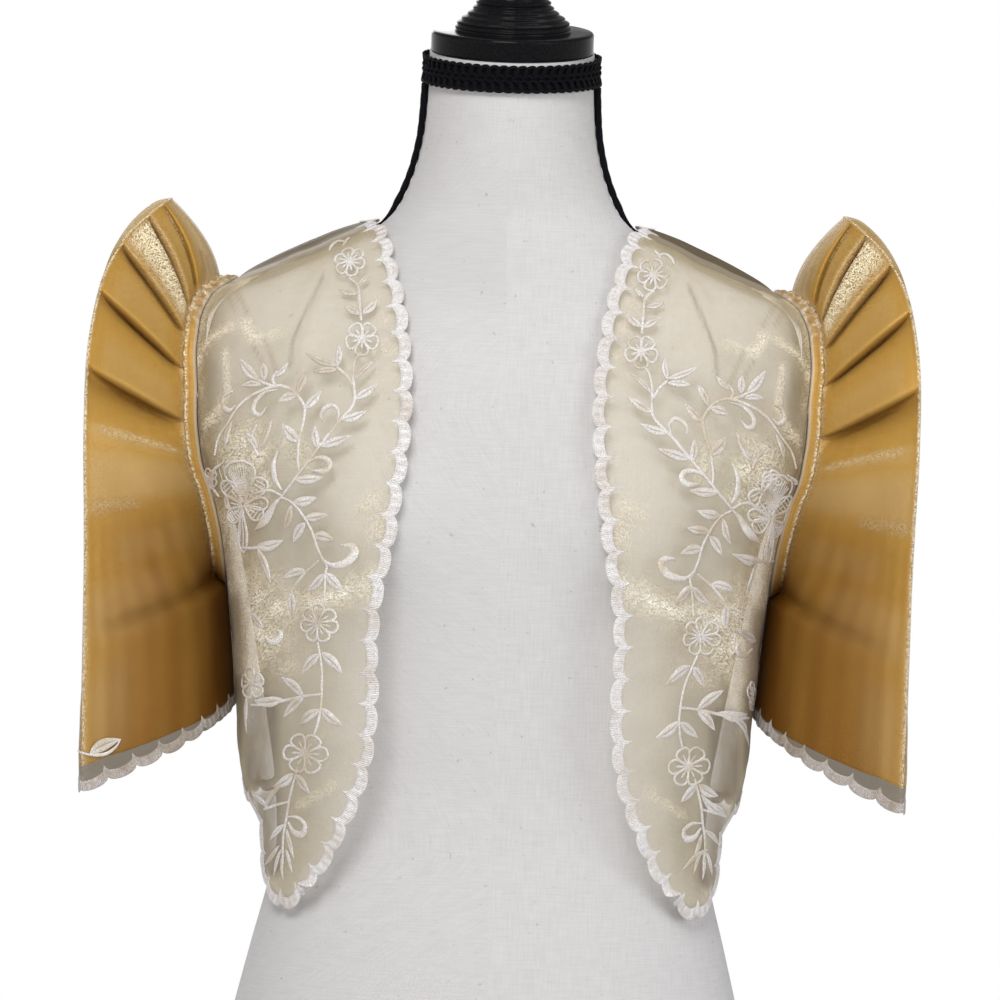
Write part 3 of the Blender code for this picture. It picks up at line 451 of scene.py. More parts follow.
def organzaMaterial(name, look):
    # see-through cloth, with painted glints of its metal threads, painted shade and a dark doubled seam
    # where the marks say
    material, tree, shader, flat, _ = startMaterial(name, metallic=0.04, specular=0.05)
    metal = useGroup(tree, glitter, flat, Grain=look["grain"], Streak=18.0)
    cloth = useGroup(tree, weave, flat, Threads=2600.0)
    tone = spread(tree, cloth.outputs["Uneven"], 0.3, 0.7)
    paintedFlash = paintedSparkle(tree, metal, 0.07)
    # the doubled seam strip, and the sleeve's sheer hem, painted darker as shade
    seam = spread(tree, readMark(tree, "seam"), 4.5, 5.6)
    # painted shade along creases and beside the shoulder seam
    creaseShade = readMark(tree, "creaseShade")
    facing = addNode(tree, "ShaderNodeLayerWeight", Blend=0.5).outputs["Facing"]
    deep = mathNode(tree, "MINIMUM", mathNode(tree, "MULTIPLY", creaseShade, 2.0), 1.0)
    colour = mixColour(tree, tone, look["thick"], look["thin"])
    # onto the cloth's tone go the slant, painted glints, painted shade in creases and hollows, and the
    # seam's painted shade
    for mask, over in ((mathNode(tree, "MULTIPLY", facing, 0.75), "slant"), (paintedFlash, "paintedSpark"),
                       (deep, "fold"), (readMark(tree, "hollowShade"), "hollowShade"),
                       (mathNode(tree, "MULTIPLY", seam, 0.9), "seam")):
        colour = mixColour(tree, mask, colour, look[over])
    cover = look["cover"]
    for mask, share in ((paintedFlash, look["paintedFlash"]), (seam, look["doubled"]), (creaseShade, 0.36)):
        cover = mathNode(tree, "MULTIPLY_ADD", mask, share, cover)
    clear = mathNode(tree, "MAXIMUM", mathNode(tree, "SUBTRACT", 1.0, cover), 0.02)
    ahead = mathNode(tree, "MAXIMUM", mathNode(tree, "SUBTRACT", 1.0, facing), 0.14)
    # the more slanted the view, the longer its way through the cloth
    through = mathNode(tree, "POWER", clear, mathNode(tree, "DIVIDE", 1.0, ahead))
    tree.links.new(mathNode(tree, "SUBTRACT", 1.0, through), shader.inputs["Alpha"])
    return finish(material, colour, metal.outputs["Height"], 0.15, 0.0003)


# deep and mid are the gold's own uneven tone and veil the sheer over it; pale colours the painted glints,
# gap the darker specks between them, sheen the painted sheen, and the hollow colour the painted shade
goldLook = {"deep": (0.43, 0.225, 0.034), "mid": (0.545, 0.320, 0.066), "pale": (1.0, 0.93, 0.72),
            "hollowShade": (0.175, 0.060, 0.004), "sheen": (0.60, 0.46, 0.24),
            "veil": (0.55, 0.49, 0.38), "gap": (0.40, 0.26, 0.09)}


def goldMaterial(name, roughness, metallic, grain, strength):
    material, tree, _, flat, _ = startMaterial(name, roughness, metallic, specular=0.22)
    metal = useGroup(tree, glitter, flat, Grain=grain, Streak=9.0)
    cloth = useGroup(tree, weave, flat, Threads=2200.0)
    tone = spread(tree, cloth.outputs["Uneven"], 0.30, 0.70)
    colour = mixColour(tree, tone, goldLook["deep"], goldLook["mid"])
    # painted sheen, painted glints with dark gaps, the sheer's veil, painted sparks, then painted shade
    for mask, over in ((readMark(tree, "sheen"), "sheen"), (readMark(tree, "paintedGlint"), "gap"),
                       (readMark(tree, "veil"), "veil"), (paintedSparkle(tree, metal, 0.05), "pale"),
                       (readMark(tree, "hollowShade"), "hollowShade")):
        colour = mixColour(tree, mask, colour, goldLook[over])
    return finish(material, colour, metal.outputs["Height"], strength, 0.0004)


stitches = 950.0
# silver, warm and dark thread of each kind; the dark one is also painted as shade along the leaves' midribs
# and rims
threadLooks = {"silverThread": ((0.93, 0.91, 0.90), (0.76, 0.67, 0.55), (0.36, 0.28, 0.21)),
               "edgeThread": ((0.86, 0.84, 0.84), (0.74, 0.68, 0.63), (0.40, 0.36, 0.34)),
               "hemThread": ((0.60, 0.55, 0.52), (0.44, 0.37, 0.30), (0.20, 0.16, 0.13))}


def threadMaterial(name):
    # satin stitches lie side by side across the piece, some silver and some warm
    material, tree, _, flat, solid = startMaterial(name, 0.42, 0.1, 0.15, 0.3)
    light, warm, dark = threadLooks[name]
    split = tree.nodes.new("ShaderNodeSeparateXYZ")
    tree.links.new(flat, split.inputs[0])
    rib = mathNode(tree, "SINE", mathNode(tree, "MULTIPLY", split.outputs[0], stitches * 2 * math.pi))
    height = mathNode(tree, "MULTIPLY_ADD", noise(tree, solid, 900.0), 0.8, rib)
    patch = noise(tree, solid, 55.0)
    fine = spread(tree, noise(tree, solid, 1300.0, 1.0), 0.3, 0.7, 0.35, 1.1)
    silver = mixColour(tree, spread(tree, patch, 0.36, 0.52), warm, light)
    # painted shade along each leaf's midrib groove and rim
    veinShade = spread(tree, readMark(tree, "veinShade"), 0.45, 0.95, 0.0, 0.8)
    base = mixColour(tree, mathNode(tree, "MULTIPLY_ADD", rib, 0.16, fine), dark, silver)
    return finish(material, mixColour(tree, veinShade, base, dark), height, 0.6, 0.00022)


blackLook = {"braid": ((0.002, 0.002, 0.003), (0.008, 0.008, 0.012)),
             "gloss": ((0.004, 0.004, 0.005), (0.012, 0.012, 0.013)), "coat": 0.035}


def blackBraidMaterial():
    material, tree, _, flat, _ = startMaterial("blackBraid", 0.7, specular=0.08)
    split = tree.nodes.new("ShaderNodeSeparateXYZ")
    tree.links.new(flat, split.inputs[0])
    twist = mathNode(tree, "ADD", mathNode(tree, "MULTIPLY", split.outputs[0], 9000.0),
                     mathNode(tree, "MULTIPLY", split.outputs[1], 6000.0))
    rib = mathNode(tree, "SINE", twist)
    base = mixColour(tree, spread(tree, rib, -1.0, 1.0), *blackLook["braid"])
    return finish(material, base, rib, 0.6, 0.0002)


def blackGlossMaterial():
    material, tree, shader, _, solid = startMaterial("blackGloss", 0.12, specular=0.05)
    shader.inputs["Coat Weight"].default_value = blackLook["coat"]
    shader.inputs["Coat Roughness"].default_value = 0.06
    dust = noise(tree, solid, 900.0, 3.0)
    base = mixColour(tree, spread(tree, dust, 0.35, 0.75), *blackLook["gloss"])
    smudge = noise(tree, solid, 60.0, 3.0)
    tree.links.new(spread(tree, smudge, 0.3, 0.7, 0.12, 0.24), shader.inputs["Roughness"])
    return finish(material, base, dust, 0.05, 0.0002)


linen = linenMaterial()
organza = organzaMaterial("organza", organzaLook)
sleeveSheer = organzaMaterial("sleeveOrganza", sleeveLook)
goldSatin = goldMaterial("goldSatin", 0.42, 0.25, 1250.0, 0.18)
goldBand = goldMaterial("goldBand", 0.45, 0.2, 1100.0, 0.4)
thread, edgeThread, hemThread = (threadMaterial(name) for name in threadLooks)
blackBraid = blackBraidMaterial()
blackGloss = blackGlossMaterial()
print("materials ready")


# the dress form

bodyNames = ("height", "halfWidth", "front", "back", "squareness", "tilt")
bust = {"out": 82.0, "height": 462.0, "spread": 42.0, "above": 50.0}
dressForm = {
    "around": 168, "rows": 240, "bustDepth": 21.0, "bustBelow": 42.0,
    # height and how far the rounded foot is drawn in
    "foot": ((0.0, 2.6), (1.0, 1.5), (3.0, 0.6), (6.0, 0.15), (10.0, 0.0)),
    "sections": (
        (0.0, 160.0, 100.0, 108.0, 2.3, 0.0), (14.0, 167.0, 104.0, 113.0, 2.3, 0.0),
        (55.0, 172.0, 106.0, 116.0, 2.3, 0.0), (105.0, 169.0, 107.0, 114.0, 2.3, 0.0),
        (155.0, 159.0, 105.0, 102.0, 2.3, 0.0), (205.0, 147.0, 99.0, 87.0, 2.3, 0.0),
        (245.0, 137.0, 93.0, 77.0, 2.3, 0.0), (270.0, 133.0, 91.0, 75.0, 2.3, 0.0),
        (300.0, 134.5, 92.0, 77.0, 2.3, 0.0), (340.0, 140.5, 97.0, 84.0, 2.3, 0.0),
        (385.0, 148.5, 103.0, 93.0, 2.3, 0.0), (425.0, 156.0, 108.0, 100.0, 2.3, 0.0),
        (455.0, 162.0, 110.5, 104.0, 2.3, 0.0), (485.0, 171.0, 111.5, 106.5, 2.3, 0.0),
        (515.0, 180.0, 111.0, 108.0, 2.3, 0.0), (545.0, 185.0, 108.0, 107.0, 2.3, 0.0),
        (572.0, 185.0, 100.5, 103.0, 2.3, 0.0), (592.0, 181.0, 92.0, 95.5, 2.3, 0.0),
        (604.0, 173.0, 85.0, 88.5, 2.3, 0.0), (612.0, 161.0, 79.0, 82.5, 2.3, 0.0),
        (621.5, 140.5, 72.0, 75.0, 2.25, 0.0), (631.5, 119.0, 65.0, 68.0, 2.2, 0.0),
        (641.5, 98.0, 58.0, 61.0, 2.15, 0.0), (651.0, 79.0, 53.0, 54.0, 2.1, 0.01),
        (660.0, 70.0, 52.5, 50.5, 2.05, 0.03), (672.0, 63.5, 54.0, 47.5, 2.0, 0.05),
        (691.0, 57.0, 57.0, 44.5, 2.0, 0.09), (712.5, 53.2, 59.5, 42.5, 2.0, 0.13),
        (733.8, 52.0, 61.0, 41.8, 2.0, 0.18), (761.5, 51.2, 61.0, 41.0, 2.0, 0.22)),
}


def sectionValue(sections, name, height):
    keys = column(sections, bodyNames, "height")
    return smoothValue(keys, column(sections, bodyNames, name), height)


def bodyPoint(sections, angle, height):
    # the angle runs from the middle of the front to the +X side
    angle, height = np.asarray(angle, float), np.asarray(height, float)
    power = 2.0 / sectionValue(sections, "squareness", height)
    side, ahead = np.sin(angle), np.cos(angle)
    depth = np.where(ahead > 0, sectionValue(sections, "front", height),
                     sectionValue(sections, "back", height))
    x = sectionValue(sections, "halfWidth", height) * np.sign(side) * np.abs(side) ** power
    y = -depth * np.sign(ahead) * np.abs(ahead) ** power
    return np.stack([x, y, height + sectionValue(sections, "tilt", height) * y], axis=-1)


def bustSwell(points, angle, depth, below):
    across = bell(np.abs(points[..., 0]) - bust["out"], bust["spread"])
    over = points[..., 2] - bust["height"]
    reach = np.where(over > 0, bust["above"], below)
    ahead = unitClip(np.cos(angle)) ** 0.5
    swollen = points.copy()
    swollen[..., 1] -= depth * across * bell(over, reach) * ahead
    return swollen


def formPoint(angle, height):
    points = bodyPoint(dressForm["sections"], angle, height)
    return bustSwell(points, angle, dressForm["bustDepth"], dressForm["bustBelow"])


def buildForm():
    around = dressForm["around"]
    angle = np.linspace(0, 2 * np.pi, around + 1)
    top = dressForm["sections"][-1][0]
    foot, inset = np.array(dressForm["foot"]).T
    heights = np.concatenate([foot, np.linspace(14.0, top, dressForm["rows"])])
    grid = formPoint(angle[None, :] + 0 * heights[:, None], heights[:, None] + 0 * angle[None, :])
    grid[..., :2] -= unit(grid[..., :2]) * np.interp(heights, foot, inset)[:, None, None]
    rows = len(heights)
    faces = [list(face) for face in gridFaces(rows, around, True)[:, ::-1]]
    faces.append(list(range(around))[::-1])
    faces.append(list(range((rows - 1) * around, rows * around)))
    obj = meshObject("dressFormBody", grid[:, :-1].reshape(-1, 3), faces, material=linen)
    layer = obj.data.uv_layers.new(name="cloth")
    reach = lengths(grid, 1)
    for face in obj.data.polygons:
        columns = [v % around for v in face.vertices]
        # the last strip of weave ends at the full way round
        closing = len(columns) == 4 and around - 1 in columns
        for corner in face.loop_indices:
            row, place = divmod(obj.data.loops[corner].vertex_index, around)
            across = reach[row, -1 if closing and place == 0 else place]
            layer.data[corner].uv = (across * mm, heights[row] * mm)
    smoothShade(obj, 50)
    return obj


formBody = buildForm()
attach((formBody, "form_torso"))
formTree = treeOf(formBody)

cap = {
    "low": 0.3, "top": 76.0, "steps": 96, "groove": 3.1, "grooveDeep": 0.55, "grooved": (15.4, 34.0),
    "profile": (  # radius and height above the neck
        (46.0, 0.3), (49.4, 0.4), (50.2, 1.0), (50.4, 2.0), (50.4, 11.8), (50.1, 12.9),
        (49.3, 13.7), (48.0, 14.0), (37.0, 14.4), (36.1, 14.7), (35.9, 15.4), (35.7, 17.2),
        (34.2, 19.8), (32.0, 22.0), (29.6, 24.0), (27.2, 26.0), (25.0, 28.2), (23.4, 30.6),
        (22.4, 33.2), (21.4, 36.0), (21.5, 37.6), (22.5, 38.8), (22.8, 40.2), (22.2, 41.6),
        (20.2, 43.2), (16.0, 45.2), (12.0, 46.8), (10.4, 48.6), (10.0, 51.0), (10.4, 53.6),
        (12.0, 56.6), (14.2, 59.8), (15.0, 63.2), (14.6, 66.8), (12.6, 70.6), (9.0, 74.0),
        (4.6, 75.6)),
}


def neckFrame():
    last = dict(zip(bodyNames, dressForm["sections"][-1]))
    middle = (last["back"] - last["front"]) / 2
    centre = Vector((0.0, middle, last["height"] + last["tilt"] * middle))
    return centre, Vector((0.0, -last["tilt"], 1.0)).normalized()


def buildCap():
    radius, height = smoothRows(cap["profile"], 6).T
    turned = (height > cap["grooved"][0]) & (height < cap["grooved"][1])
    radius += np.where(turned, cap["grooveDeep"] * np.sin(height * 2 * np.pi / cap["groove"]), 0.0)
    line = [(0.0, 0.0, cap["low"])] + [(r, 0.0, h) for r, h in zip(radius, height)]
    line.append((0.0, 0.0, cap["top"]))
    mesh = bpy.data.meshes.new("neckCap")
    mesh.from_pydata([tuple(c * mm for c in p) for p in line],
                     [(i, i + 1) for i in range(len(line) - 1)], [])
    obj = linked("neckCap", mesh)
    turn = {"steps": cap["steps"], "angle": 2 * math.pi, "center": (0, 0, 0), "axis": (0, 0, 1)}
    inEditMode(obj, (bpy.ops.mesh.spin, turn), weld(0.02), faceOutwards)
    centre, up = neckFrame()
    tilt = Vector((0, 0, 1)).rotation_difference(up).to_matrix().to_4x4()
    mesh.transform(Matrix.Translation(centre * mm) @ tilt)
    mesh.materials.append(blackGloss)
    smoothShade(obj, 40)
    return obj


attach((buildCap(), "form_neck_cap"))


def sweep(paths, sides=6):
    # round or flat cords: each path is rows of centre, side and up directions already at their size
    points, faces, uv = [], [], []
    turn = np.linspace(0, 2 * np.pi, sides, endpoint=False)
    for centre, side, up, length in paths:
        base = sum(len(p) for p in points)
        rows = len(centre)
        ring = (centre[:, None] + side[:, None] * np.cos(turn)[None, :, None]
                + up[:, None] * np.sin(turn)[None, :, None])
        points.append(ring.reshape(-1, 3))
        faces += [[base + i for i in face] for face in gridFaces(rows, sides, True)]
        faces.append([base + i for i in range(sides)])
        faces.append([base + (rows - 1) * sides + i for i in range(sides)][::-1])
        around = np.broadcast_to(turn[None, :], (rows, sides))
        along = np.broadcast_to(length[:, None], (rows, sides))
        uv.append(np.stack([along, around], axis=-1).reshape(-1, 2))
    return np.concatenate(points), faces, np.concatenate(uv)


def cordFrame(centre, wide, thick, upHint):
    along = unit(np.gradient(centre, axis=0))
    side = unit(np.cross(along, upHint))
    up = np.cross(side, along)
    wide, thick = (np.broadcast_to(np.asarray(v, float), len(centre))[:, None] for v in (wide, thick))
    return centre, side * wide, up * thick, lengths(centre, 0)


def braidObject(name, paths):
    points, faces, uv = sweep(paths)
    obj = meshObject(name, points, faces, uv, blackBraid)
    smoothShade(obj)
    return obj


gimp = {"low": 741.6, "high": 759.4, "count": 60, "cord": 1.15, "flat": 0.85, "off": 2.6,
        "inner": 0.06, "outer": 0.86, "swing": 0.62, "lean": 0.45, "back": 0.2, "lift": 0.75, "dip": 0.5,
        "weaver": (0.95, 0.8), "weaverApart": 1.6, "weaverOff": 3.5, "weaverSway": 0.9,
        "weaverLift": 0.35, "tape": 1.5, "tapeCord": (1.6, 0.9), "tapeCords": 5, "tapeInset": 3.2}


def neckRingPoint(turn, height, off):
    # a point round the neck, this far off the linen
    around = formPoint(turn, height)
    middle = formPoint(np.zeros_like(turn), height)
    behind = formPoint(np.zeros_like(turn) + np.pi, height)
    centre = (middle + behind) / 2
    away = around - centre
    away[..., 2] = 0.0
    away = unit(away)
    return around + away * np.asarray(off, float)[..., None], away


def buildNeckBraid():
    middle = (gimp["low"] + gimp["high"]) / 2
    half = (gimp["high"] - gimp["low"]) / 2
    pitch = 2 * np.pi / gimp["count"]
    # a loop leans into its neighbour, wide at the edge and narrow in the middle
    t = np.linspace(0, 1, 22)
    shape = 2 * np.pi * t
    reach = half * (gimp["inner"] + gimp["outer"] * (0.5 - 0.5 * np.cos(shape)))
    swing = gimp["swing"] * np.sin(shape) + gimp["lean"] * (1 - np.abs(2 * t - 1)) - gimp["back"]
    lift = gimp["off"] + gimp["lift"] * np.sin(np.pi * t) - gimp["dip"] * np.cos(shape)
    paths = []
    for k in range(gimp["count"]):
        for upper in (1.0, -1.0):
            turn = (k + 0.5 * (upper < 0) + swing) * pitch
            centre, away = neckRingPoint(turn, middle + upper * reach, lift)
            paths.append(cordFrame(centre, gimp["cord"], gimp["cord"] * gimp["flat"], away))
    # two cords weave through the loops along the middle
    turn = np.linspace(0, 2 * np.pi, 6 * gimp["count"] + 1)
    for level, phase in ((-gimp["weaverApart"], 0.0), (gimp["weaverApart"], 0.5)):
        wave = np.sin((turn / pitch + phase) * 2 * np.pi)
        centre, away = neckRingPoint(turn, middle + level + gimp["weaverSway"] * wave,
                                     gimp["weaverOff"] + gimp["weaverLift"] * wave)
        paths.append(cordFrame(centre, *gimp["weaver"], away))
    # the loops are sewn on a flat black tape
    turn = np.linspace(0, 2 * np.pi, 181)
    for level in np.linspace(gimp["tapeInset"] - half, half - gimp["tapeInset"], gimp["tapeCords"]):
        centre, away = neckRingPoint(turn, middle + level, gimp["tape"])
        paths.append(cordFrame(centre, *gimp["tapeCord"], away))
    return braidObject("neckBraid", paths)


attach((buildNeckBraid(), "form_neck_braid"))

shoulderBraid = {"low": 613.0, "high": 740.0, "half": 3.5, "cord": 1.25, "pitch": 7.0, "thick": 1.9,
                 "thin": 0.55, "thinBelow": (652.0, 664.0), "flat": 0.8, "strands": 4, "step": 0.8,
                 "neckFrom": 672.0, "forward": 0.1, "off": 0.35, "rise": 0.95, "cross": 0.5}


def buildShoulderBraid():
    heights = np.linspace(shoulderBraid["high"], shoulderBraid["low"], 900)
    out = sectionValue(dressForm["sections"], "halfWidth", heights)
    ahead = -shoulderBraid["forward"] * np.maximum(heights - shoulderBraid["neckFrom"], 0.0)
    tilt = sectionValue(dressForm["sections"], "tilt", heights)
    line = np.stack([out, ahead, heights + tilt * ahead], axis=-1)
    length = lengths(line, 0)
    stations = np.arange(0, length[-1], shoulderBraid["step"])
    found = [formTree.find_nearest(Vector(p))[:2] for p in sampled(stations, length, line)]
    places, ups = (np.array(values) for values in zip(*found))
    ups = unit(ups)
    side = unit(np.cross(unit(np.gradient(places, axis=0)), ups))
    thick = np.interp(places[:, 2], shoulderBraid["thinBelow"],
                      (shoulderBraid["thin"], shoulderBraid["thick"]))
    paths = []
    for strand in range(shoulderBraid["strands"]):
        turn = (stations / shoulderBraid["pitch"] + strand / shoulderBraid["strands"]) * 2 * np.pi
        sway = side * (shoulderBraid["half"] * np.sin(turn))[:, None]
        rise = (shoulderBraid["rise"] + shoulderBraid["cross"] * np.cos(2 * turn)) * thick
        centre = places + sway + ups * (shoulderBraid["off"] + rise)[:, None]
        paths.append(cordFrame(centre, shoulderBraid["cord"], shoulderBraid["flat"] * thick, ups))
    return braidObject("shoulderBraidRight", paths)


braidRight = buildShoulderBraid()
braidLeft = mirrorCopy(braidRight, "shoulderBraidLeft")
attach((braidRight, "form_braid_right"), (braidLeft, "form_braid_left"))


# the bodice

bodice = {
    "wall": 0.5, "clear": 1.6, "braidClear": 3.2, "braidWide": 9.0, "braidFrom": 600.0,
    "halfSeam": 0.15, "neckPoint": 651.7,
    "bustDepth": 11.0, "bustBelow": 150.0, "ripple": 0.45, "stillRows": 8,
    "armRows": 66, "sideRows": 44, "across": 66, "shoulder": 16, "neck": 40,
    "armholeTop": 615.5, "armholeBottom": 431.0, "armholeHalf": 56.0,
    "seamFrom": 84.0, "seamTo": 165.5, "seamLift": 4.8, "seamReach": 9.0,
    "fine": 7.0, "squareness": 2.4,
    "sections": ( # height, half width, depth in front and behind
        (225.0, 142.0, 106.0, 95.0), (245.0, 143.5, 107.5, 95.5), (260.0, 145.5, 109.0, 96.0),
        (280.0, 147.5, 112.0, 96.5), (300.0, 153.0, 115.0, 97.5), (320.0, 157.0, 118.5, 99.0),
        (350.0, 160.0, 122.0, 101.5), (400.0, 164.5, 124.5, 106.5), (431.0, 168.0, 125.0, 109.5),
        (451.4, 173.1, 124.5, 111.0), (480.7, 184.4, 124.0, 112.5), (504.5, 195.0, 123.0, 113.0),
        (530.0, 200.0, 120.0, 113.0), (563.0, 201.0, 111.0, 108.5), (585.0, 197.0, 101.5, 102.5),
        (602.7, 186.0, 91.0, 93.5), (615.5, 165.5, 82.5, 85.5), (625.0, 145.0, 76.0, 79.0),
        (635.0, 123.0, 69.0, 72.0), (645.0, 101.0, 62.0, 65.0), (655.0, 79.0, 55.0, 57.5),
        (662.0, 66.0, 51.0, 53.0)),
    "frontEdge": (  # height, out from the centre
        (646.0, 82.0), (637.0, 77.6), (624.6, 74.3), (608.0, 69.4), (593.0, 66.0),
        (576.5, 63.6), (558.0, 61.6), (537.0, 60.7), (521.6, 61.2), (502.0, 62.7),
        (485.0, 65.0), (463.6, 67.5), (447.0, 70.4), (427.0, 74.4), (405.7, 76.5),
        (387.0, 76.9), (366.0, 75.9), (351.0, 76.2), (330.6, 78.0), (314.0, 81.0),
        (294.0, 87.5), (270.0, 98.0), (258.0, 104.5), (247.5, 112.0)),
    "frontHem": (  # angle from the middle of the front, height
        (47.9, 247.5), (50.9, 242.3), (54.1, 238.3), (57.5, 236.2), (61.2, 236.0),
        (65.3, 238.6), (69.1, 243.6), (71.1, 250.5), (71.2, 260.0), (70.2, 273.0),
        (71.8, 287.0), (77.0, 297.5), (83.5, 301.2), (90.0, 301.8)),
    "backNeck": ((90.0, 651.7), (112.0, 650.0), (140.0, 648.0), (180.0, 647.2)),
    "backHem": ((90.0, 301.8), (130.0, 301.0), (180.0, 299.5)),
}
bodice["sections"] = [(*row, bodice["squareness"], 0.0) for row in bodice["sections"]]

# soft folds: out and height of both ends, half width, and how far each one stands out
frontFolds = (
    (104.0, 632.0, 131.0, 560.0, 9.0, 1.6), (118.0, 628.0, 146.0, 566.0, 8.0, -1.2),
    (163.0, 600.0, 176.0, 560.0, 7.0, 1.2), (140.0, 520.0, 170.0, 500.0, 12.0, 1.4),
    (104.0, 440.0, 96.0, 285.0, 11.0, 1.8), (122.0, 455.0, 124.0, 270.0, 10.0, -1.8),
    (142.0, 440.0, 143.0, 300.0, 9.0, 2.2))
fineFolds = (
    (175.0, 598.0, 158.0, 570.0, 3.5, 0.8), (186.0, 572.0, 162.0, 552.0, 4.0, 0.9),
    (190.0, 548.0, 160.0, 534.0, 4.5, -0.8), (186.0, 520.0, 152.0, 514.0, 4.5, 0.9),
    (172.0, 490.0, 140.0, 480.0, 5.0, -0.7), (166.0, 462.0, 140.0, 470.0, 4.5, 0.8),
    (112.0, 626.0, 124.0, 580.0, 2.6, -0.7), (152.0, 400.0, 150.0, 310.0, 4.5, 1.2),
    (134.0, 380.0, 133.0, 290.0, 4.0, -1.0), (110.0, 380.0, 106.0, 265.0, 4.5, 0.8))
backFolds = (
    (30.0, 560.0, 26.0, 300.0, 16.0, 2.0), (64.0, 540.0, 62.0, 300.0, 15.0, -1.6),
    (98.0, 530.0, 96.0, 300.0, 15.0, 2.4), (128.0, 470.0, 128.0, 300.0, 11.0, -1.4),
    (150.0, 600.0, 120.0, 545.0, 12.0, 1.4))
fineBackFolds = (
    (182.0, 576.0, 156.0, 552.0, 4.5, 0.9), (186.0, 520.0, 150.0, 510.0, 4.5, -0.8),
    (12.0, 430.0, 14.0, 304.0, 6.0, 0.9), (46.0, 410.0, 47.0, 304.0, 5.0, -0.9),
    (84.0, 400.0, 82.0, 304.0, 5.5, 1.0), (114.0, 380.0, 113.0, 304.0, 5.0, -0.9),
    (146.0, 390.0, 145.0, 308.0, 4.5, 1.0))


# painted glints where the metal threads would flash, then painted shade along creases, as strokes of the
# same kind
frontPaintedGlints = (
    (189.0, 563.0, 182.0, 578.0, 2.2, 0.75), (182.0, 578.0, 168.0, 588.0, 2.0, 0.8),
    (168.0, 588.0, 156.0, 591.0, 2.0, 0.7), (158.0, 589.0, 153.0, 580.0, 3.1, 0.75),
    (155.0, 580.0, 133.0, 584.0, 2.1, 0.6), (186.0, 524.0, 173.0, 534.0, 3.7, 0.8),
    (173.0, 534.0, 168.0, 550.0, 3.1, 0.7), (168.0, 550.0, 170.0, 572.0, 2.2, 0.6),
    (79.0, 604.0, 71.0, 588.0, 3.1, 0.2), (78.0, 576.0, 68.0, 572.0, 3.7, 0.2),
    (150.0, 423.0, 146.0, 398.0, 17.0, 0.85), (137.0, 416.0, 106.0, 421.0, 9.0, 0.75),
    (106.0, 421.0, 70.0, 434.0, 8.0, 0.8), (158.0, 513.0, 153.0, 492.0, 14.0, 0.8),
    (166.0, 470.0, 163.0, 440.0, 8.0, 0.7), (160.0, 398.0, 157.0, 366.0, 9.0, 0.7),
    (118.0, 295.0, 97.0, 308.0, 3.1, 0.5), (127.0, 517.0, 120.0, 505.0, 7.0, 0.4),
    (80.0, 478.0, 70.0, 462.0, 9.0, 0.35), (140.0, 386.0, 128.0, 380.0, 8.0, 0.35),
)
# painted shade along creases and folds of the organza, as strokes of the same kind
frontCreaseShades = (
    (141.0, 354.0, 141.0, 316.0, 10.0, 0.85), (136.0, 300.0, 134.0, 260.0, 8.0, 0.85),
    (168.0, 611.0, 180.0, 598.0, 2.2, 0.35),
    (111.2, 619.2, 124.1, 591.9, 1.3, 0.42), (124.1, 591.9, 129.5, 577.4, 1.3, 0.5),
    (129.5, 577.4, 130.2, 562.0, 1.4, 0.45), (171.3, 609.4, 164.1, 596.8, 1.3, 0.32),
    (165.4, 611.4, 157.3, 596.8, 1.4, 0.36), (152.9, 575.4, 146.7, 564.7, 1.4, 0.4),
    (146.0, 579.4, 138.0, 559.8, 1.4, 0.34), (189.0, 545.0, 186.0, 520.0, 4.5, 0.75),
    (183.0, 512.0, 176.0, 492.0, 4.0, 0.6), (156.0, 372.0, 158.0, 318.0, 7.0, 0.55),
    (158.0, 318.0, 150.0, 300.0, 6.0, 0.6), (141.0, 372.0, 137.0, 300.0, 4.5, 0.3),
    (132.0, 360.0, 131.0, 290.0, 3.5, 0.35), (146.0, 292.0, 138.0, 262.0, 5.0, 0.6),
    (137.0, 300.0, 128.0, 268.0, 3.0, 0.4), (160.0, 420.0, 157.0, 380.0, 6.0, 0.4),
)
backCreaseShades = ((30.0, 600.0, 24.0, 470.0, 3.0, 0.35), (98.0, 540.0, 94.0, 320.0, 3.5, 0.35),
               (150.0, 590.0, 124.0, 520.0, 3.0, 0.35), (60.0, 430.0, 58.0, 310.0, 3.0, 0.3))


def foldRise(points, folds):
    rise = np.zeros(points.shape[:-1])
    places = np.stack([np.abs(points[..., 0]), points[..., 2]], axis=-1)
    for fold in folds:
        halfWidth, height = fold[4:]
        part, away = strokeReach(places, fold)
        rise += height * bell(away, halfWidth) * (arch(part) if halfWidth < bodice["fine"] else 1.0)
    return rise


def clothPoint(angle, height, folds):
    points = bodyPoint(bodice["sections"], angle, height)
    width = sectionValue(bodice["sections"], "halfWidth", height)
    depth = sectionValue(bodice["sections"], "front", height)
    outward = unit(np.stack([points[..., 0] / width ** 2, points[..., 1] / depth ** 2], axis=-1))
    points[..., :2] += outward * foldRise(points, folds)[..., None]
    return bustSwell(points, angle, bodice["bustDepth"], bodice["bustBelow"])


def angleOf(out, height):
    width = sectionValue(bodice["sections"], "halfWidth", height)
    power = sectionValue(bodice["sections"], "squareness", height) / 2
    return np.arcsin(unitClip(out / width) ** power)


def evenLine(line, count, folds):
    length = lengths(clothPoint(line[:, 0], line[:, 1], folds), 0)
    return sampled(np.linspace(0, length[-1], count + 1), length, line)


def denseLine(table):
    angle, height = np.array(table).T
    return smoothRows(np.stack([np.radians(angle), height], axis=-1), 40)


def frontEdgeLine():
    height, out = smoothRows(bodice["frontEdge"], 40).T
    line = np.stack([angleOf(out, height), height], axis=-1)
    return np.concatenate([[[np.pi / 2, bodice["neckPoint"]]], line])


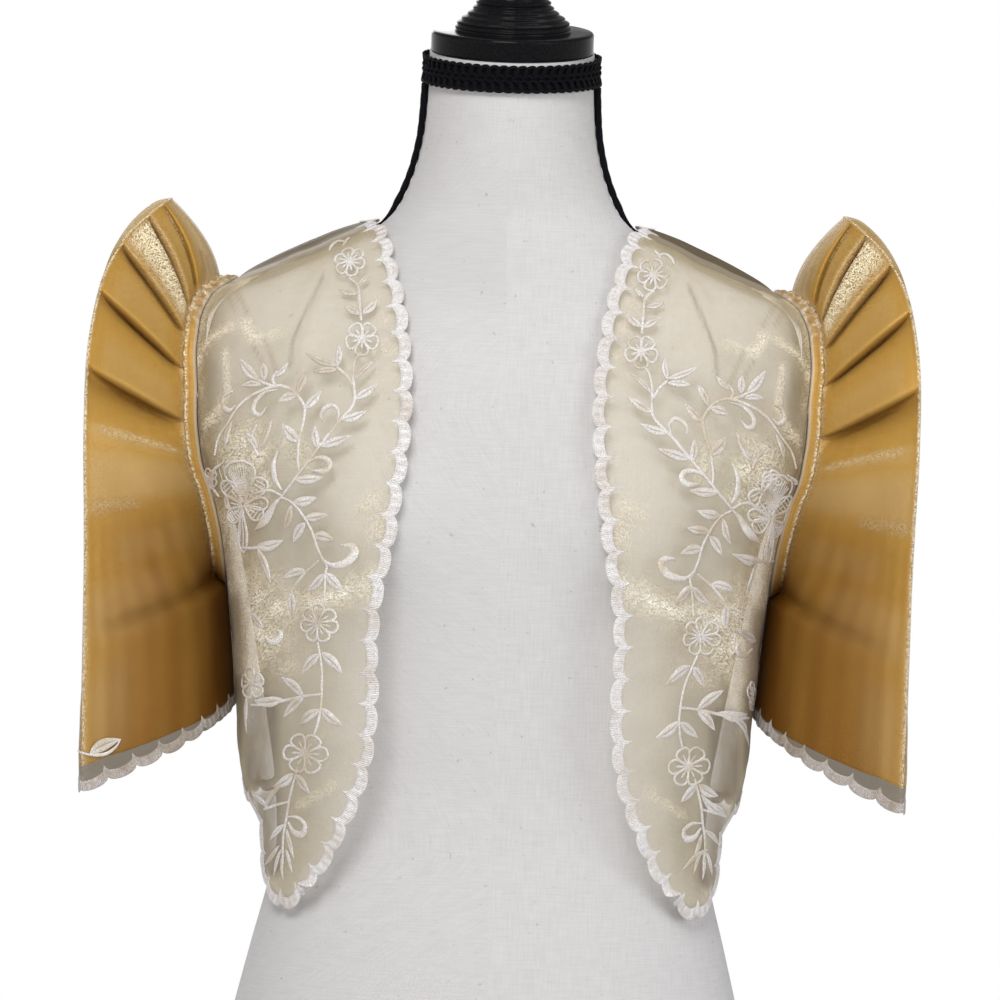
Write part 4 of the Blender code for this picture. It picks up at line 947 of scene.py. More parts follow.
def armholeSpan():
    middle = (bodice["armholeTop"] + bodice["armholeBottom"]) / 2
    return middle, bodice["armholeTop"] - middle


def armholeAngle(height, behind):
    middle, half = armholeSpan()
    level = np.clip((height - middle) / half, -1, 1)
    depth = bodice["armholeHalf"] * np.sqrt(1 - level ** 2)
    reach = sectionValue(bodice["sections"], "back" if behind else "front", height)
    power = sectionValue(bodice["sections"], "squareness", height) / 2
    turn = np.arccos(unitClip(depth / reach) ** power)
    return np.pi - turn if behind else turn


def upright(high, low):
    # a line down the side of the body
    return np.array([[np.pi / 2, high], [np.pi / 2, low]])


def sideLine(behind, folds):
    middle, half = armholeSpan()
    height = middle + half * np.sin(np.linspace(np.pi / 2, -np.pi / 2, 600))
    armhole = np.stack([armholeAngle(height, behind), height], axis=-1)
    seam = upright(bodice["armholeBottom"], bodice["frontHem"][-1][1])
    return np.concatenate([evenLine(armhole, bodice["armRows"], folds),
                           evenLine(seam, bodice["sideRows"], folds)[1:]])


def patch(top, bottom, left, right):
    # angles and heights filled in between four sides
    u = np.linspace(0, 1, len(top))[None, :, None]
    v = np.linspace(0, 1, len(left))[:, None, None]
    sides = (1 - u) * left[:, None] + u * right[:, None]
    ends = (1 - v) * top[None] + v * bottom[None]
    corners = (1 - v) * ((1 - u) * top[0] + u * top[-1])
    return sides + ends - corners - v * ((1 - u) * bottom[0] + u * bottom[-1])


def clearOfForm(grid):
    moved = grid.copy()
    for index in np.ndindex(grid.shape[:-1]):
        point = Vector(grid[index])
        # more room over the shoulder braids
        nearBraid = math.exp(-((point.y / bodice["braidWide"]) ** 4))
        nearBraid *= unitClip((point.z - bodice["braidFrom"]) / 8)
        least = bodice["clear"] + (bodice["braidClear"] - bodice["clear"]) * nearBraid
        place, normal = formTree.find_nearest(point)[:2]
        if (point - place).dot(normal) < least:
            moved[index] = place + normal * least
    return moved


def shoulderPart(out):
    # 0 at the neck, 1 at the armhole
    return (np.abs(out) - bodice["seamFrom"]) / (bodice["seamTo"] - bodice["seamFrom"])


def liftSeam(grid):
    # the cloth stands up along the shoulder seam, clear of the form
    swell = np.sqrt(arch(unitClip(shoulderPart(grid[..., 0]))))
    grid[..., 2] += bodice["seamLift"] * swell * bell(lengths(grid, 0), bodice["seamReach"])
    return grid


def fineRipple(grid, seed):
    # the organza is never quite flat between its folds, and still at its edges
    u, v = lengths(grid, 1), lengths(grid, 0)
    wave = ripple(u, v, seed, 34.0) + 0.5 * ripple(u, v, seed + 1, 15.0)
    order = [np.arange(count) for count in grid.shape[:2]]
    fade = [np.minimum(np.minimum(k, k[::-1]) / bodice["stillRows"], 1.0) for k in order]
    return (wave * np.outer(*fade) * bodice["ripple"])[..., None]


def drape(flat, folds, seed):
    grid = clothPoint(flat[..., 0], flat[..., 1], folds)
    return liftSeam(clearOfForm(grid - gridNormals(grid) * fineRipple(grid, seed)))


def frontGrid():
    folds = frontFolds + fineFolds
    left = evenLine(frontEdgeLine(), bodice["armRows"] + bodice["sideRows"], folds)
    top = evenLine(upright(bodice["neckPoint"], bodice["armholeTop"]), bodice["across"], folds)
    bottom = evenLine(denseLine(bodice["frontHem"]), bodice["across"], folds)
    grid = drape(patch(top, bottom, left, sideLine(False, folds)), folds, 11)
    grid[0, :, 1] = -bodice["halfSeam"]
    grid[bodice["armRows"]:, -1, 1] = -bodice["halfSeam"]
    return grid


def bothSides(line):
    # on over the middle of the back, and the same on the other side
    other = otherSide(line)
    return np.concatenate([line, other[-2::-1]])


def otherSide(line):
    return line * np.array([-1.0, 1.0]) + np.array([2 * np.pi, 0.0])


def backGrid():
    folds = backFolds + fineBackFolds
    right = sideLine(True, folds)
    shoulder = evenLine(upright(bodice["armholeTop"], bodice["neckPoint"]), bodice["shoulder"], folds)
    neck = evenLine(denseLine(bodice["backNeck"]), bodice["neck"] // 2, folds)
    top = np.concatenate([shoulder, neck[1:]])
    bottom = evenLine(denseLine(bodice["backHem"]), len(top) - 1, folds)
    grid = drape(patch(bothSides(top), bothSides(bottom), right, otherSide(right)), folds, 31)
    ends = slice(0, bodice["shoulder"] + 1)
    for side in (grid, grid[:, ::-1]):
        side[0, ends, 1] = bodice["halfSeam"]
        side[bodice["armRows"]:, 0, 1] = bodice["halfSeam"]
    return grid


def facing(grid):
    # True when the grid's own normals point away from the form
    return (gridNormals(grid)[..., :2] * grid[..., :2]).sum() > 0


def shoulderSeamAndShade(grid, wide):
    # how far inside the doubled strip along the shoulder seam, and 0 well away from it; the strip is
    # doubled cloth, painted dark with shade as well
    part = shoulderPart(grid[..., 0])
    reach = wide * np.interp(part, [-0.05, 0.0, 0.15, 0.4, 0.65, 1.0], [0.0, 0.5, 0.85, 1, 0.95, 0.5])
    inside = np.clip(reach - lengths(grid, 0), -5, 5) + 5
    inside[30:] = 0.0
    inside[part < -0.02] = 0.0
    return inside


def shoulderShade(grid, strength):
    # darker where the cloth stands clear of the form, in front of its own back
    out, height = grid[0, :, 0], grid[0, :, 2]
    order = np.argsort(out)
    line = np.interp(grid[..., 0], out[order], height[order])
    reach = np.interp(shoulderPart(grid[..., 0]), [0, 0.12, 0.45, 0.8, 1], [6.0, 10.0, 12.5, 11.0, 5.0])
    shade = strength * unitClip((grid[..., 2] - line + reach) / 1.5)
    shade[30:] = 0.0
    return shade


def broken(grid, mask, seed):
    # painted glint streaks fade and swell along their way
    u, v = lengths(grid, 1), lengths(grid, 0)
    uneven = 0.72 + 0.34 * ripple(u, v, seed, 16.0) + 0.2 * ripple(u, v, seed + 1, 7.0)
    return unitClip(mask * np.clip(uneven, 0.12, 1.3))


def scatteredPaintedGlint(grid, seed, strength):
    # uneven upright patches of painted glint on the threads
    u, v = lengths(grid, 1), lengths(grid, 0)
    patches = ripple(1.5 * u, 0.4 * v, seed, 62.0) + 0.5 * ripple(u, v, seed + 1, 21.0)
    return strength * unitClip((patches - 0.45) / 0.9)


def armholePaintedGlint(grid, column, strength):
    # painted glints of the threads in a narrow strip along the armhole
    away = lengths(grid, 1)
    away = away if column == 0 else away[:, -1:] - away
    paintedGlint = strength * bell(away, 7.0)
    paintedGlint[bodice["armRows"] + 2:] = 0.0
    return paintedGlint


def clothPiece(name, grid, marks):
    # the sheet, its tree for what is sewn on it, then its wall
    obj = gridObject(name, grid, organza, marks, not facing(grid))
    tree = treeOf(obj)
    giveWall(obj, bodice["wall"])
    smoothShade(obj)
    return obj, tree


front = frontGrid()
back = backGrid()
# painted glints on the front; its marks also hold the seam strip's painted shade and painted shade along
# creases and the shoulder
frontPaintedGlint = np.maximum(strokeMask(front, frontPaintedGlints), armholePaintedGlint(front, -1, 0.35))
frontPaintedGlint = broken(front, frontPaintedGlint, 71)
frontMarks = {"paintedGlint": frontPaintedGlint, "seam": shoulderSeamAndShade(front, 26.0),
              "creaseShade": np.maximum(strokeMask(front, frontCreaseShades), shoulderShade(front, 1.0))}
frontRight, frontTree = clothPiece("frontRight", front, frontMarks)
frontLeft = mirrorCopy(frontRight, "frontLeft")
# painted glints on the back, along both armholes and in scattered patches; its marks also hold painted
# shade along creases and the seam strip's painted shade
backPaintedGlint = np.maximum(armholePaintedGlint(back, 0, 0.35), armholePaintedGlint(back, -1, 0.35))
backPaintedGlint = broken(back, np.maximum(backPaintedGlint, scatteredPaintedGlint(back, 41, 0.55)), 73)
backMarks = {"paintedGlint": backPaintedGlint, "creaseShade": strokeMask(back, backCreaseShades),
             "seam": shoulderSeamAndShade(back, 12.0)}
backPiece = clothPiece("backPiece", back, backMarks)[0]
attach((frontRight, "bodice_front_right"), (frontLeft, "bodice_front_left"), (backPiece, "bodice_back"))


# scalloped edges, covered with satin stitches

scallop = {"pitch": 19.0, "cusp": 3.0, "lobe": 4.2, "width": 7.2, "spike": 2.4, "thick": 1.35,
           "stitch": 1.3, "step": 0.36, "relief": 0.17, "spikeWide": 0.06,
           "groove": 0.34, "grooveAt": 0.47, "grooveWide": 0.07}
hemScallop = dict(scallop, width=6.4, spike=1.6, cusp=2.0, lobe=4.0, thick=1.1)


def edgeFrame(grid, cells, inner):
    # places along an edge, the way up from the cloth and the way out, square at the ends
    normals = gridNormals(grid) * (1 if facing(grid) else -1)
    chain, ups, near = (np.array([values[cell] for cell in places]) for values, places in
                        ((grid, cells), (normals, cells), (grid, inner)))
    outs = unit(np.cross(np.gradient(chain, axis=0), ups))
    outs[(outs * (near - chain)).sum(axis=1) > 0] *= -1
    for end in (0, -1):
        outs[end, 1] = 0.0
        outs[end] /= np.linalg.norm(outs[end])
    return chain, ups, outs


def scallopBand(name, edge, look, material, closed=False):
    chain, ups, outs = (np.concatenate([a, a[:1]]) for a in edge) if closed else edge
    length = lengths(chain, 0)
    total = length[-1]
    pitch = total / max(1, round(total / look["pitch"]))
    places = np.linspace(0, total, int(total / look["step"]) + 1)
    if closed:
        places = places[:-1]
    at, up, away = (sampled(places, length, a) for a in (chain, ups, outs))
    up, away = unit(up), unit(away)
    part = (places / pitch) % 1.0
    lobe = np.sqrt(unitClip(1 - (2 * part - 1) ** 2))
    outer = look["cusp"] + look["lobe"] * lobe
    spike = look["spike"] * bell(np.minimum(part, 1 - part), look["spikeWide"])
    inner = outer - look["width"] - spike
    t = np.concatenate([np.linspace(0, 1, 9), np.linspace(1, 0, 5)[1:-1]])
    upper = np.arange(len(t)) < 9
    dome = (1 - np.abs(2 * t - 1) ** 5) ** 0.5
    groove = 1 - look["groove"] * bell(t - look["grooveAt"], look["grooveWide"])
    stitch = look["relief"] * np.cos(places * 2 * np.pi / look["stitch"])
    half = look["thick"] / 2
    rise = np.where(upper, half * (0.25 + 0.75 * dome * groove), -half * (0.25 + 0.5 * dome))
    rise = rise + np.where(upper, 1, 0) * stitch[:, None] * dome
    offset = inner[:, None] + (outer - inner)[:, None] * t
    ring = at[:, None] + away[:, None] * offset[..., None] + up[:, None] * rise[..., None]
    around, rows = len(t), len(places)
    faces = gridFaces(rows, around, True).tolist()
    if closed:
        faces += closingFaces(rows, around)
    else:
        faces.append(list(range(around)))
        faces.append(list(range((rows - 1) * around, rows * around))[::-1])
    uv = np.stack([np.broadcast_to(places[:, None], offset.shape), offset], axis=-1)
    obj = meshObject(name, ring.reshape(-1, 3), faces, uv.reshape(-1, 2), material)
    inEditMode(obj, faceOutwards)
    smoothShade(obj, 55)
    return obj


def edgeBand(name, grid, cells, inner):
    return scallopBand(name, edgeFrame(grid, cells, inner), scallop, edgeThread)


def buildBodiceBorders():
    rows, across = front.shape[:2]
    cells = [(j, 0) for j in range(rows)] + [(rows - 1, i) for i in range(1, across)]
    inner = [(min(j, rows - 2), 1) for j in range(rows)] + [(rows - 2, i) for i in range(1, across)]
    right = edgeBand("frontEdgeRight", front, cells, inner)
    left = mirrorCopy(right, "frontEdgeLeft")
    rows, across = back.shape[:2]
    hem = edgeBand("backHemEdge", back, [(rows - 1, i) for i in range(across)],
                   [(rows - 2, i) for i in range(across)])
    neck = range(bodice["shoulder"], across - bodice["shoulder"])
    top = edgeBand("backNeckEdge", back, [(0, i) for i in neck], [(1, i) for i in neck])
    return right, left, hem, top


edgeRight, edgeLeft, backHemEdge, backNeckEdge = buildBodiceBorders()
attach((edgeRight, "front_border_right"), (edgeLeft, "front_border_left"),
       (backHemEdge, "back_border"), (backNeckEdge, "neck_border"))


# the vine: stems, leaves and flowers in satin stitch, raised on the fronts

vine = {
    "step": 1.1, "stem": 0.95, "stemHigh": 0.55, "petal": 0.8, "petalHigh": 0.6, "leafHigh": 0.95,
    "petalWide": {5: 0.84, 6: 0.74, 7: 0.66}, "bends": (0.06, -0.05, 0.02),
    # out and height as seen from straight ahead
    "stems": (
        ((95.6, 617.2), (90.4, 612.4), (88.9, 602.7), (87.6, 591.0)),
        ((87.6, 571.5), (90.6, 567.0), (91.6, 557.9), (90.2, 545.3), (92.0, 538.5), (100.5, 528.7),
         (105.6, 521.9), (111.7, 513.7), (118.8, 504.0), (127.2, 492.3), (132.8, 484.5)),
        ((132.8, 483.6), (125.9, 479.7), (118.9, 471.4), (113.7, 462.2), (110.6, 453.4), (107.5, 446.6),
         (104.4, 441.8), (105.0, 435.9), (105.3, 419.4)),
        ((108.5, 395.1), (106.3, 384.1), (105.4, 373.9), (105.5, 358.8), (106.9, 346.9), (109.4, 338.5)),
        ((118.6, 318.7), (120.6, 310.8), (123.1, 299.5), (124.5, 288.3), (126.0, 278.0), (126.4, 266.0)),
        ((122.5, 499.1), (123.7, 505.9), (123.3, 518.6), (121.0, 530.0), (120.6, 538.5), (125.3, 545.8),
         (131.7, 550.6), (139.0, 551.4), (151.1, 546.7), (160.6, 539.4), (167.1, 528.7), (172.7, 519.0),
         (174.4, 509.3)),
        ((138.6, 551.6), (140.6, 555.5), (137.9, 560.8)),
        ((139.5, 551.3), (145.4, 553.1), (149.3, 555.0)),
        ((91.9, 552.1), (95.9, 557.9), (101.4, 562.8)),
        ((96.3, 641.5), (98.3, 639.5), (99.6, 637.0)),
        ((109.4, 444.7), (117.9, 436.9), (124.5, 428.1), (125.4, 425.2)),
        ((106.3, 363.2), (116.4, 362.1), (128.7, 359.3), (139.9, 357.0), (147.8, 357.0)),
        ((123.6, 297.8), (130.4, 296.1), (138.2, 293.3)),
        ((132.8, 484.5), (140.7, 487.9), (149.4, 486.0)),
        ((141.7, 453.4), (150.4, 452.5), (156.3, 452.9)),
        ((147.9, 509.0), (152.4, 519.0), (149.2, 528.0))),
    # half width where it swells, then the line
    "curls": (
        (1.3, ((97.8, 639.0), (103.0, 639.4), (106.6, 636.8), (108.0, 633.8))),
        (1.3, ((100.5, 528.7), (99.7, 535.5), (103.2, 539.4), (107.6, 538.5), (110.4, 534.6),
          (109.8, 530.2))),
        (1.9, ((118.8, 504.0), (113.0, 507.4), (106.7, 507.1), (104.2, 503.5), (107.5, 499.6),
          (114.8, 499.9))),
        (2.6, ((107.5, 446.6), (101.5, 442.2), (92.8, 443.7), (87.6, 449.5), (89.7, 453.9),
          (96.0, 454.2))),
        (1.6, ((137.5, 549.2), (145.2, 547.2), (150.9, 541.4), (151.2, 535.5), (147.3, 534.1),
          (143.5, 538.5))),
        (2.9, ((132.8, 484.1), (137.1, 479.2), (141.7, 470.9), (148.3, 463.9))),
        (2.3, ((140.2, 399.0), (137.7, 395.6), (133.3, 396.5), (131.0, 400.4), (133.0, 402.8))),
        (2.2, ((123.6, 288.8), (117.7, 288.3), (113.1, 283.7), (114.6, 278.1), (119.7, 279.2),
          (123.3, 285.4))),
        (1.6, ((164.7, 548.2), (169.5, 545.3), (170.3, 539.4), (166.3, 536.5), (162.5, 539.4))),
        (2.0, ((136.0, 512.0), (138.5, 503.0), (137.0, 494.0), (132.8, 488.0))),
        (1.8, ((169.0, 505.0), (174.5, 500.0), (175.5, 491.0), (171.0, 484.0)))),
    # out and height of the base and of the point, and the width
    "leaves": (
        (89.7, 613.4, 84.0, 619.2, 3.3), (90.3, 607.5, 102.2, 610.4, 4.3), (88.7, 594.9, 98.6, 600.2, 4.7),
        (87.2, 595.4, 78.2, 604.1, 5.8), (91.0, 555.0, 77.7, 567.6, 3.7), (90.2, 543.3, 76.3, 552.6, 5.8),
        (98.1, 530.7, 82.2, 536.5, 5.6), (101.4, 563.8, 121.1, 571.5, 4.5),
        (101.4, 561.3, 115.9, 559.9, 4.5), (101.4, 563.3, 101.1, 576.9, 4.3),
        (111.7, 513.2, 114.1, 527.3, 5.8), (110.3, 514.6, 91.0, 521.4, 6.2),
        (138.7, 557.0, 131.2, 565.7, 3.8), (124.8, 547.2, 119.3, 560.3, 5.8),
        (120.2, 537.5, 110.3, 548.7, 6.2), (125.8, 545.8, 136.8, 541.9, 5.8),
        (149.3, 555.0, 161.9, 569.1, 6.4), (145.5, 554.9, 147.2, 566.2, 6.0),
        (147.3, 552.1, 159.5, 551.6, 4.3), (167.7, 515.1, 164.2, 530.7, 4.9),
        (147.3, 513.1, 140.0, 531.6, 4.9), (148.2, 513.2, 157.7, 523.4, 5.4),
        (123.0, 517.1, 134.0, 528.7, 7.4), (125.3, 494.3, 107.8, 495.7, 6.4),
        (125.9, 480.7, 111.4, 483.6, 6.4), (126.8, 478.7, 130.8, 463.1, 5.6),
        (118.4, 470.9, 104.3, 472.9, 6.0), (118.3, 468.0, 125.2, 455.9, 6.4),
        (113.0, 460.2, 100.0, 457.3, 7.0), (125.4, 426.2, 124.0, 410.6, 7.2),
        (117.0, 438.8, 131.4, 434.0, 5.6), (105.7, 436.9, 115.7, 426.2, 6.0),
        (104.6, 437.4, 94.3, 426.7, 6.8), (147.5, 453.4, 131.1, 457.3, 6.8),
        (146.5, 452.5, 138.2, 431.1, 5.4), (142.3, 403.8, 149.4, 413.5, 5.8),
        (107.2, 387.9, 117.8, 375.5, 7.0), (105.8, 388.9, 93.1, 376.2, 7.0),
        (116.4, 362.8, 130.2, 373.9, 7.0), (116.3, 361.4, 128.4, 349.1, 6.5),
        (128.7, 360.3, 146.7, 359.6, 6.6), (106.3, 354.2, 118.7, 344.6, 6.3),
        (105.3, 354.8, 92.2, 344.6, 7.0), (121.0, 314.9, 133.5, 306.9, 6.5),
        (120.0, 314.8, 110.8, 302.9, 7.2), (136.0, 295.0, 146.3, 302.9, 5.6),
        (138.2, 293.3, 147.9, 297.3, 3.2), (150.8, 362.7, 150.1, 339.0, 5.0),
        (124.3, 281.2, 119.4, 263.3, 4.1), (128.5, 271.1, 137.2, 258.9, 3.6),
        (127.3, 268.8, 131.3, 252.2, 3.4), (125.6, 267.7, 125.5, 249.8, 3.0),
        (124.3, 268.8, 120.0, 254.3, 3.0), (126.0, 284.0, 134.5, 274.0, 4.2)),
    # centre, reach, petals, turn in degrees
    "flowers": ((95.7, 627.5, 10.4, 6, 15), (86.8, 580.3, 10.8, 5, 36), (108.8, 406.7, 12.2, 7, 0),
                (114.3, 327.2, 13.0, 6, 30), (148.4, 370.0, 9.9, 5, 10), (177.0, 495.0, 7.0, 5, 20)),
    # petals of the open blossom: turn in degrees from straight up, reach, width, ribs, bars
    "blossom": (156.0, 478.7),
    "blossomPetals": ((4, 28.0, 19.0, 11, 0), (-38, 21.0, 11.0, 0, 5), (44, 20.0, 11.0, 0, 5),
                      (-84, 15.0, 8.5, 0, 0), (-122, 14.0, 9.0, 0, 4), (132, 15.5, 9.5, 0, 5),
                      (84, 15.0, 8.5, 0, 0), (174, 30.0, 8.0, 3, 0)),
    # the other front's vine sits a little lower and nearer the middle or the side
    "shiftAt": (260.0, 325.0, 368.0, 402.0, 479.0, 576.0, 624.0),
    "shiftOut": (4.0, 4.6, 8.0, 16.0, 9.0, -3.0, -6.0),
    "shiftDown": 8.0,
}


def smoothPath(points, step):
    # an even curve through every point
    points = np.array(points, float)
    padded = np.concatenate([[2 * points[0] - points[1]], points, [2 * points[-1] - points[-2]]])
    t = np.linspace(0, 1, 25)[:-1, None]
    runs = []
    for k in range(len(points) - 1):
        a, b, c, d = padded[k:k + 4]
        runs.append(0.5 * (2 * b + (c - a) * t + (2 * a - 5 * b + 4 * c - d) * t ** 2
                           + (3 * b - a - 3 * c + d) * t ** 3))
    line = np.concatenate(runs + [points[-1:]])
    length = lengths(line, 0)
    wanted = np.linspace(0, length[-1], max(5, int(length[-1] / step)))
    return sampled(wanted, length, line)


def onCloth(tree, places, lean):
    # meets the cloth where the camera sees these places
    camera = Vector((0.0, view["plane"] - view["distance"], view["height"]))
    found, ups = [], []
    for out, height in places:
        aim = Vector((out, view["plane"], height + lean * out))
        place, normal = tree.ray_cast(camera, (aim - camera).normalized())[:2]
        if place is None:
            place, normal = tree.find_nearest(Vector((out, -100.0, height)))[:2]
        found.append(place)
        ups.append(normal if normal.y < 0 else -normal)
    return np.array(found), unit(np.array(ups))


def settle(tree, points, lift):
    # brings points near the cloth down on it, this high above it
    placed = np.empty_like(points)
    for k, point in enumerate(points):
        place, normal = tree.find_nearest(Vector(point))[:2]
        placed[k] = place + (normal if normal.y < 0 else -normal) * lift[k]
    return placed


def cordAlong(tree, points, wide, high):
    # a satin cord over points that lie near the cloth
    points = settle(tree, points, np.zeros(len(points)))
    ups = unit(settle(tree, points, np.ones(len(points))) - points)
    for _ in range(2):
        ups[1:-1] = unit(ups[:-2] + ups[1:-1] + ups[2:])
    return cordFrame(points + ups * (0.25 + 0.35 * high), wide, high, ups)


def tapered(count, middle, end, peak=0.5):
    t = np.linspace(0, 1, count)
    rise = np.where(t < peak, t / peak, (1 - t) / (1 - peak))
    return end + (middle - end) * np.sin(rise * np.pi / 2) ** 1.2


def clothAxes(up):
    # directions in the cloth that look upright and level from the front, stretched by up to two thirds
    rise = np.array([0.0, -up[2] / up[1], 1.0])
    out = np.array([1.0, -up[0] / up[1], 0.0])
    return tuple(v * min(1.0, 1.65 / np.linalg.norm(v)) for v in (rise, out))


def petalPaths(tree, centre, up, turn, reach, width, ribs, bars):
    rise, out = clothAxes(up)
    ahead = rise * math.cos(turn) + out * math.sin(turn)
    side = -rise * math.sin(turn) + out * math.cos(turn)
    turned = np.linspace(0, 2 * np.pi, max(18, int(reach * 2.2)))
    opened = (1 - np.cos(turned)) / 2
    along = reach * (0.10 + 0.90 * opened) - vine["petal"]
    across = (width / 2 - vine["petal"] * 0.6) * np.sin(turned) * opened ** 0.8 / 0.69
    loop = centre + ahead * along[:, None] + side * across[:, None]
    paths = [cordAlong(tree, loop, vine["petal"], vine["petalHigh"])]
    inner = centre + ahead * (reach * np.linspace(0.16, 0.60, 7))[:, None]
    paths.append(cordAlong(tree, inner, tapered(7, 0.75, 0.35, 0.7), 0.4))
    for k in range(ribs):
        lean = (k - (ribs - 1) / 2) / max(1, ribs - 1)
        t = np.linspace(0.2, 0.9 - 0.5 * lean * lean, 9)
        rib = centre + ahead * (reach * t)[:, None] + side * (width * 0.86 * lean * t ** 0.9)[:, None]
        paths.append(cordAlong(tree, rib, tapered(9, 0.55, 0.35), 0.38))
    for k in range(bars):
        t = 0.34 + 0.48 * k / max(1, bars - 1)
        half = width * 0.36 * math.sin(math.pi * min(1.0, t * 1.02)) ** 0.5
        bar = centre + ahead * (reach * t) + side * np.linspace(-half, half, 5)[:, None]
        paths.append(cordAlong(tree, bar, 0.5, 0.36))
    return paths


def leafModel():
    # a flattened ball: place along from 0 to 1, place across from -1 to 1, upper side or not
    bpy.ops.mesh.primitive_uv_sphere_add(segments=16, ring_count=10, radius=1.0)
    ball = bpy.context.active_object
    turn = {"value": math.radians(90), "orient_axis": "Y", "center_override": (0, 0, 0)}
    inEditMode(ball, (bpy.ops.transform.rotate, turn))
    points = np.array([vertex.co[:] for vertex in ball.data.vertices])
    faces = [tuple(face.vertices) for face in ball.data.polygons]
    bpy.data.objects.remove(ball, do_unlink=True)
    ring = np.sqrt(unitClip(1 - points[:, 0] ** 2))
    across = points[:, 1] / np.maximum(ring, 1e-4) * (ring > 0.01)
    return (points[:, 0] + 1) / 2, np.clip(across, -1, 1), points[:, 2] > -0.01, faces


def leafOn(tree, model, base, point, width, bend, high, lean):
    along, across, upper, faces = model
    ends, ups = onCloth(tree, (base, point), lean)
    axis = ends[1] - ends[0]
    length = np.linalg.norm(axis)
    side = unit(np.cross(unit(ups.mean(axis=0)), axis))
    outline = np.sin(np.pi * unitClip(along) ** 0.82) ** 0.9
    away = across * width / 2 * outline
    sway = bend * length * np.sin(np.pi * along)
    points = ends[0] + axis * along[:, None] + side * (away + sway)[:, None]
    dome = np.sqrt(unitClip(1 - across ** 2)) * (1 - 0.5 * bell(across, 0.2))
    lift = np.where(upper, 0.25 + high * dome * np.sqrt(unitClip(outline)), 0.15)
    uv = np.stack([along * length + 0.8 * np.abs(away), away], axis=-1)
    # painted shade along the midrib groove and the rim
    veinShade = bell(across, 0.2) * arch(along) ** 0.3
    veinShade = np.maximum(veinShade, 0.85 * unitClip((np.abs(across) - 0.8) / 0.2))
    return settle(tree, points, lift), faces, uv, veinShade


def gather(name, parts):
    # cords and leaves as one piece, with the painted shade along each leaf's midrib and rim marked
    points, faces, uv, veinShades = [], [], [], []
    count = 0
    for places, sides, flat, *veinShade in parts:
        points.append(places)
        uv.append(flat)
        veinShades.append(veinShade[0] if veinShade else np.zeros(len(places)))
        faces += [[count + i for i in face] for face in sides]
        count += len(places)
    obj = meshObject(name, np.concatenate(points), faces, np.concatenate(uv), thread)
    setMarks(obj, {"veinShade": np.concatenate(veinShades)})
    smoothShade(obj, 60)
    return obj


def buildVine(name, shifted):
    def placed(points):
        points = np.atleast_2d(np.array(points, float))
        if shifted:
            shift = np.interp(points[:, 1], vine["shiftAt"], vine["shiftOut"])
            down = np.interp(points[:, 1], [250.0, 330.0], [0.0, vine["shiftDown"]])
            points = points + np.stack([shift, -down], axis=-1)
        return points

    paths = []
    lean = view["lean"] if shifted else -view["lean"]
    for line in vine["stems"]:
        spots = onCloth(frontTree, smoothPath(placed(line), vine["step"]), lean)[0]
        wide = tapered(len(spots), vine["stem"], 0.55) ** 0.4 * vine["stem"] ** 0.6
        paths.append(cordAlong(frontTree, spots, wide, vine["stemHigh"]))
    for swell, line in vine["curls"]:
        spots = onCloth(frontTree, smoothPath(placed(line), 0.9), lean)[0]
        paths.append(cordAlong(frontTree, spots, tapered(len(spots), swell, 0.5, 0.66), 0.7))
    for out, height, reach, petals, turn in vine["flowers"]:
        centre, up = (a[0] for a in onCloth(frontTree, placed((out, height)), lean))
        wide = reach * vine["petalWide"][petals]
        for k in range(petals):
            angle = math.radians(turn + 360 * k / petals)
            paths += petalPaths(frontTree, centre, up, angle, reach, wide, 0, 0)
    centre, up = (a[0] for a in onCloth(frontTree, placed(vine["blossom"]), lean))
    for turn, reach, width, ribs, bars in vine["blossomPetals"]:
        paths += petalPaths(frontTree, centre, up, math.radians(turn), reach, width, ribs, bars)
    parts = [sweep(paths, 8)]
    model = leafModel()
    for k, (*ends, width) in enumerate(vine["leaves"]):
        base, point = placed(np.reshape(ends, (2, 2)))
        bend = vine["bends"][k % len(vine["bends"])]
        parts.append(leafOn(frontTree, model, base, point, width, bend, vine["leafHigh"], lean))
    return gather(name, parts)


vineRight = buildVine("vineRight", True)
vineLeft = turnOver(buildVine("vineLeft", False))
for obj in (vineRight, vineLeft):
    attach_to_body(obj, "root")
    print(obj.name, len(obj.data.polygons))


# armhole bands, ruched along the seam

band = {"width": 6.6, "reach": 1.6, "wall": 1.2, "gap": 0.3, "bulge": 0.5, "pucker": 0.13, "pitch": 7.5,
        "step": 0.7, "topWider": 4.5, "widerFrom": 578.0, "crumpledOver": 22.0, "crumple": 6.0,
        "knot": 1.1, "sway": 0.12, "stitched": 0.72, "groove": 0.7,
        "underHigh": 9.0, "underFull": 5.5, "underShade": 0.6}


def topWider(height):
    # the armhole's sleeve side stands further out near the shoulder
    part = unitClip((height - band["widerFrom"]) / (bodice["armholeTop"] - band["widerFrom"]))
    return band["topWider"] * part ** 1.5


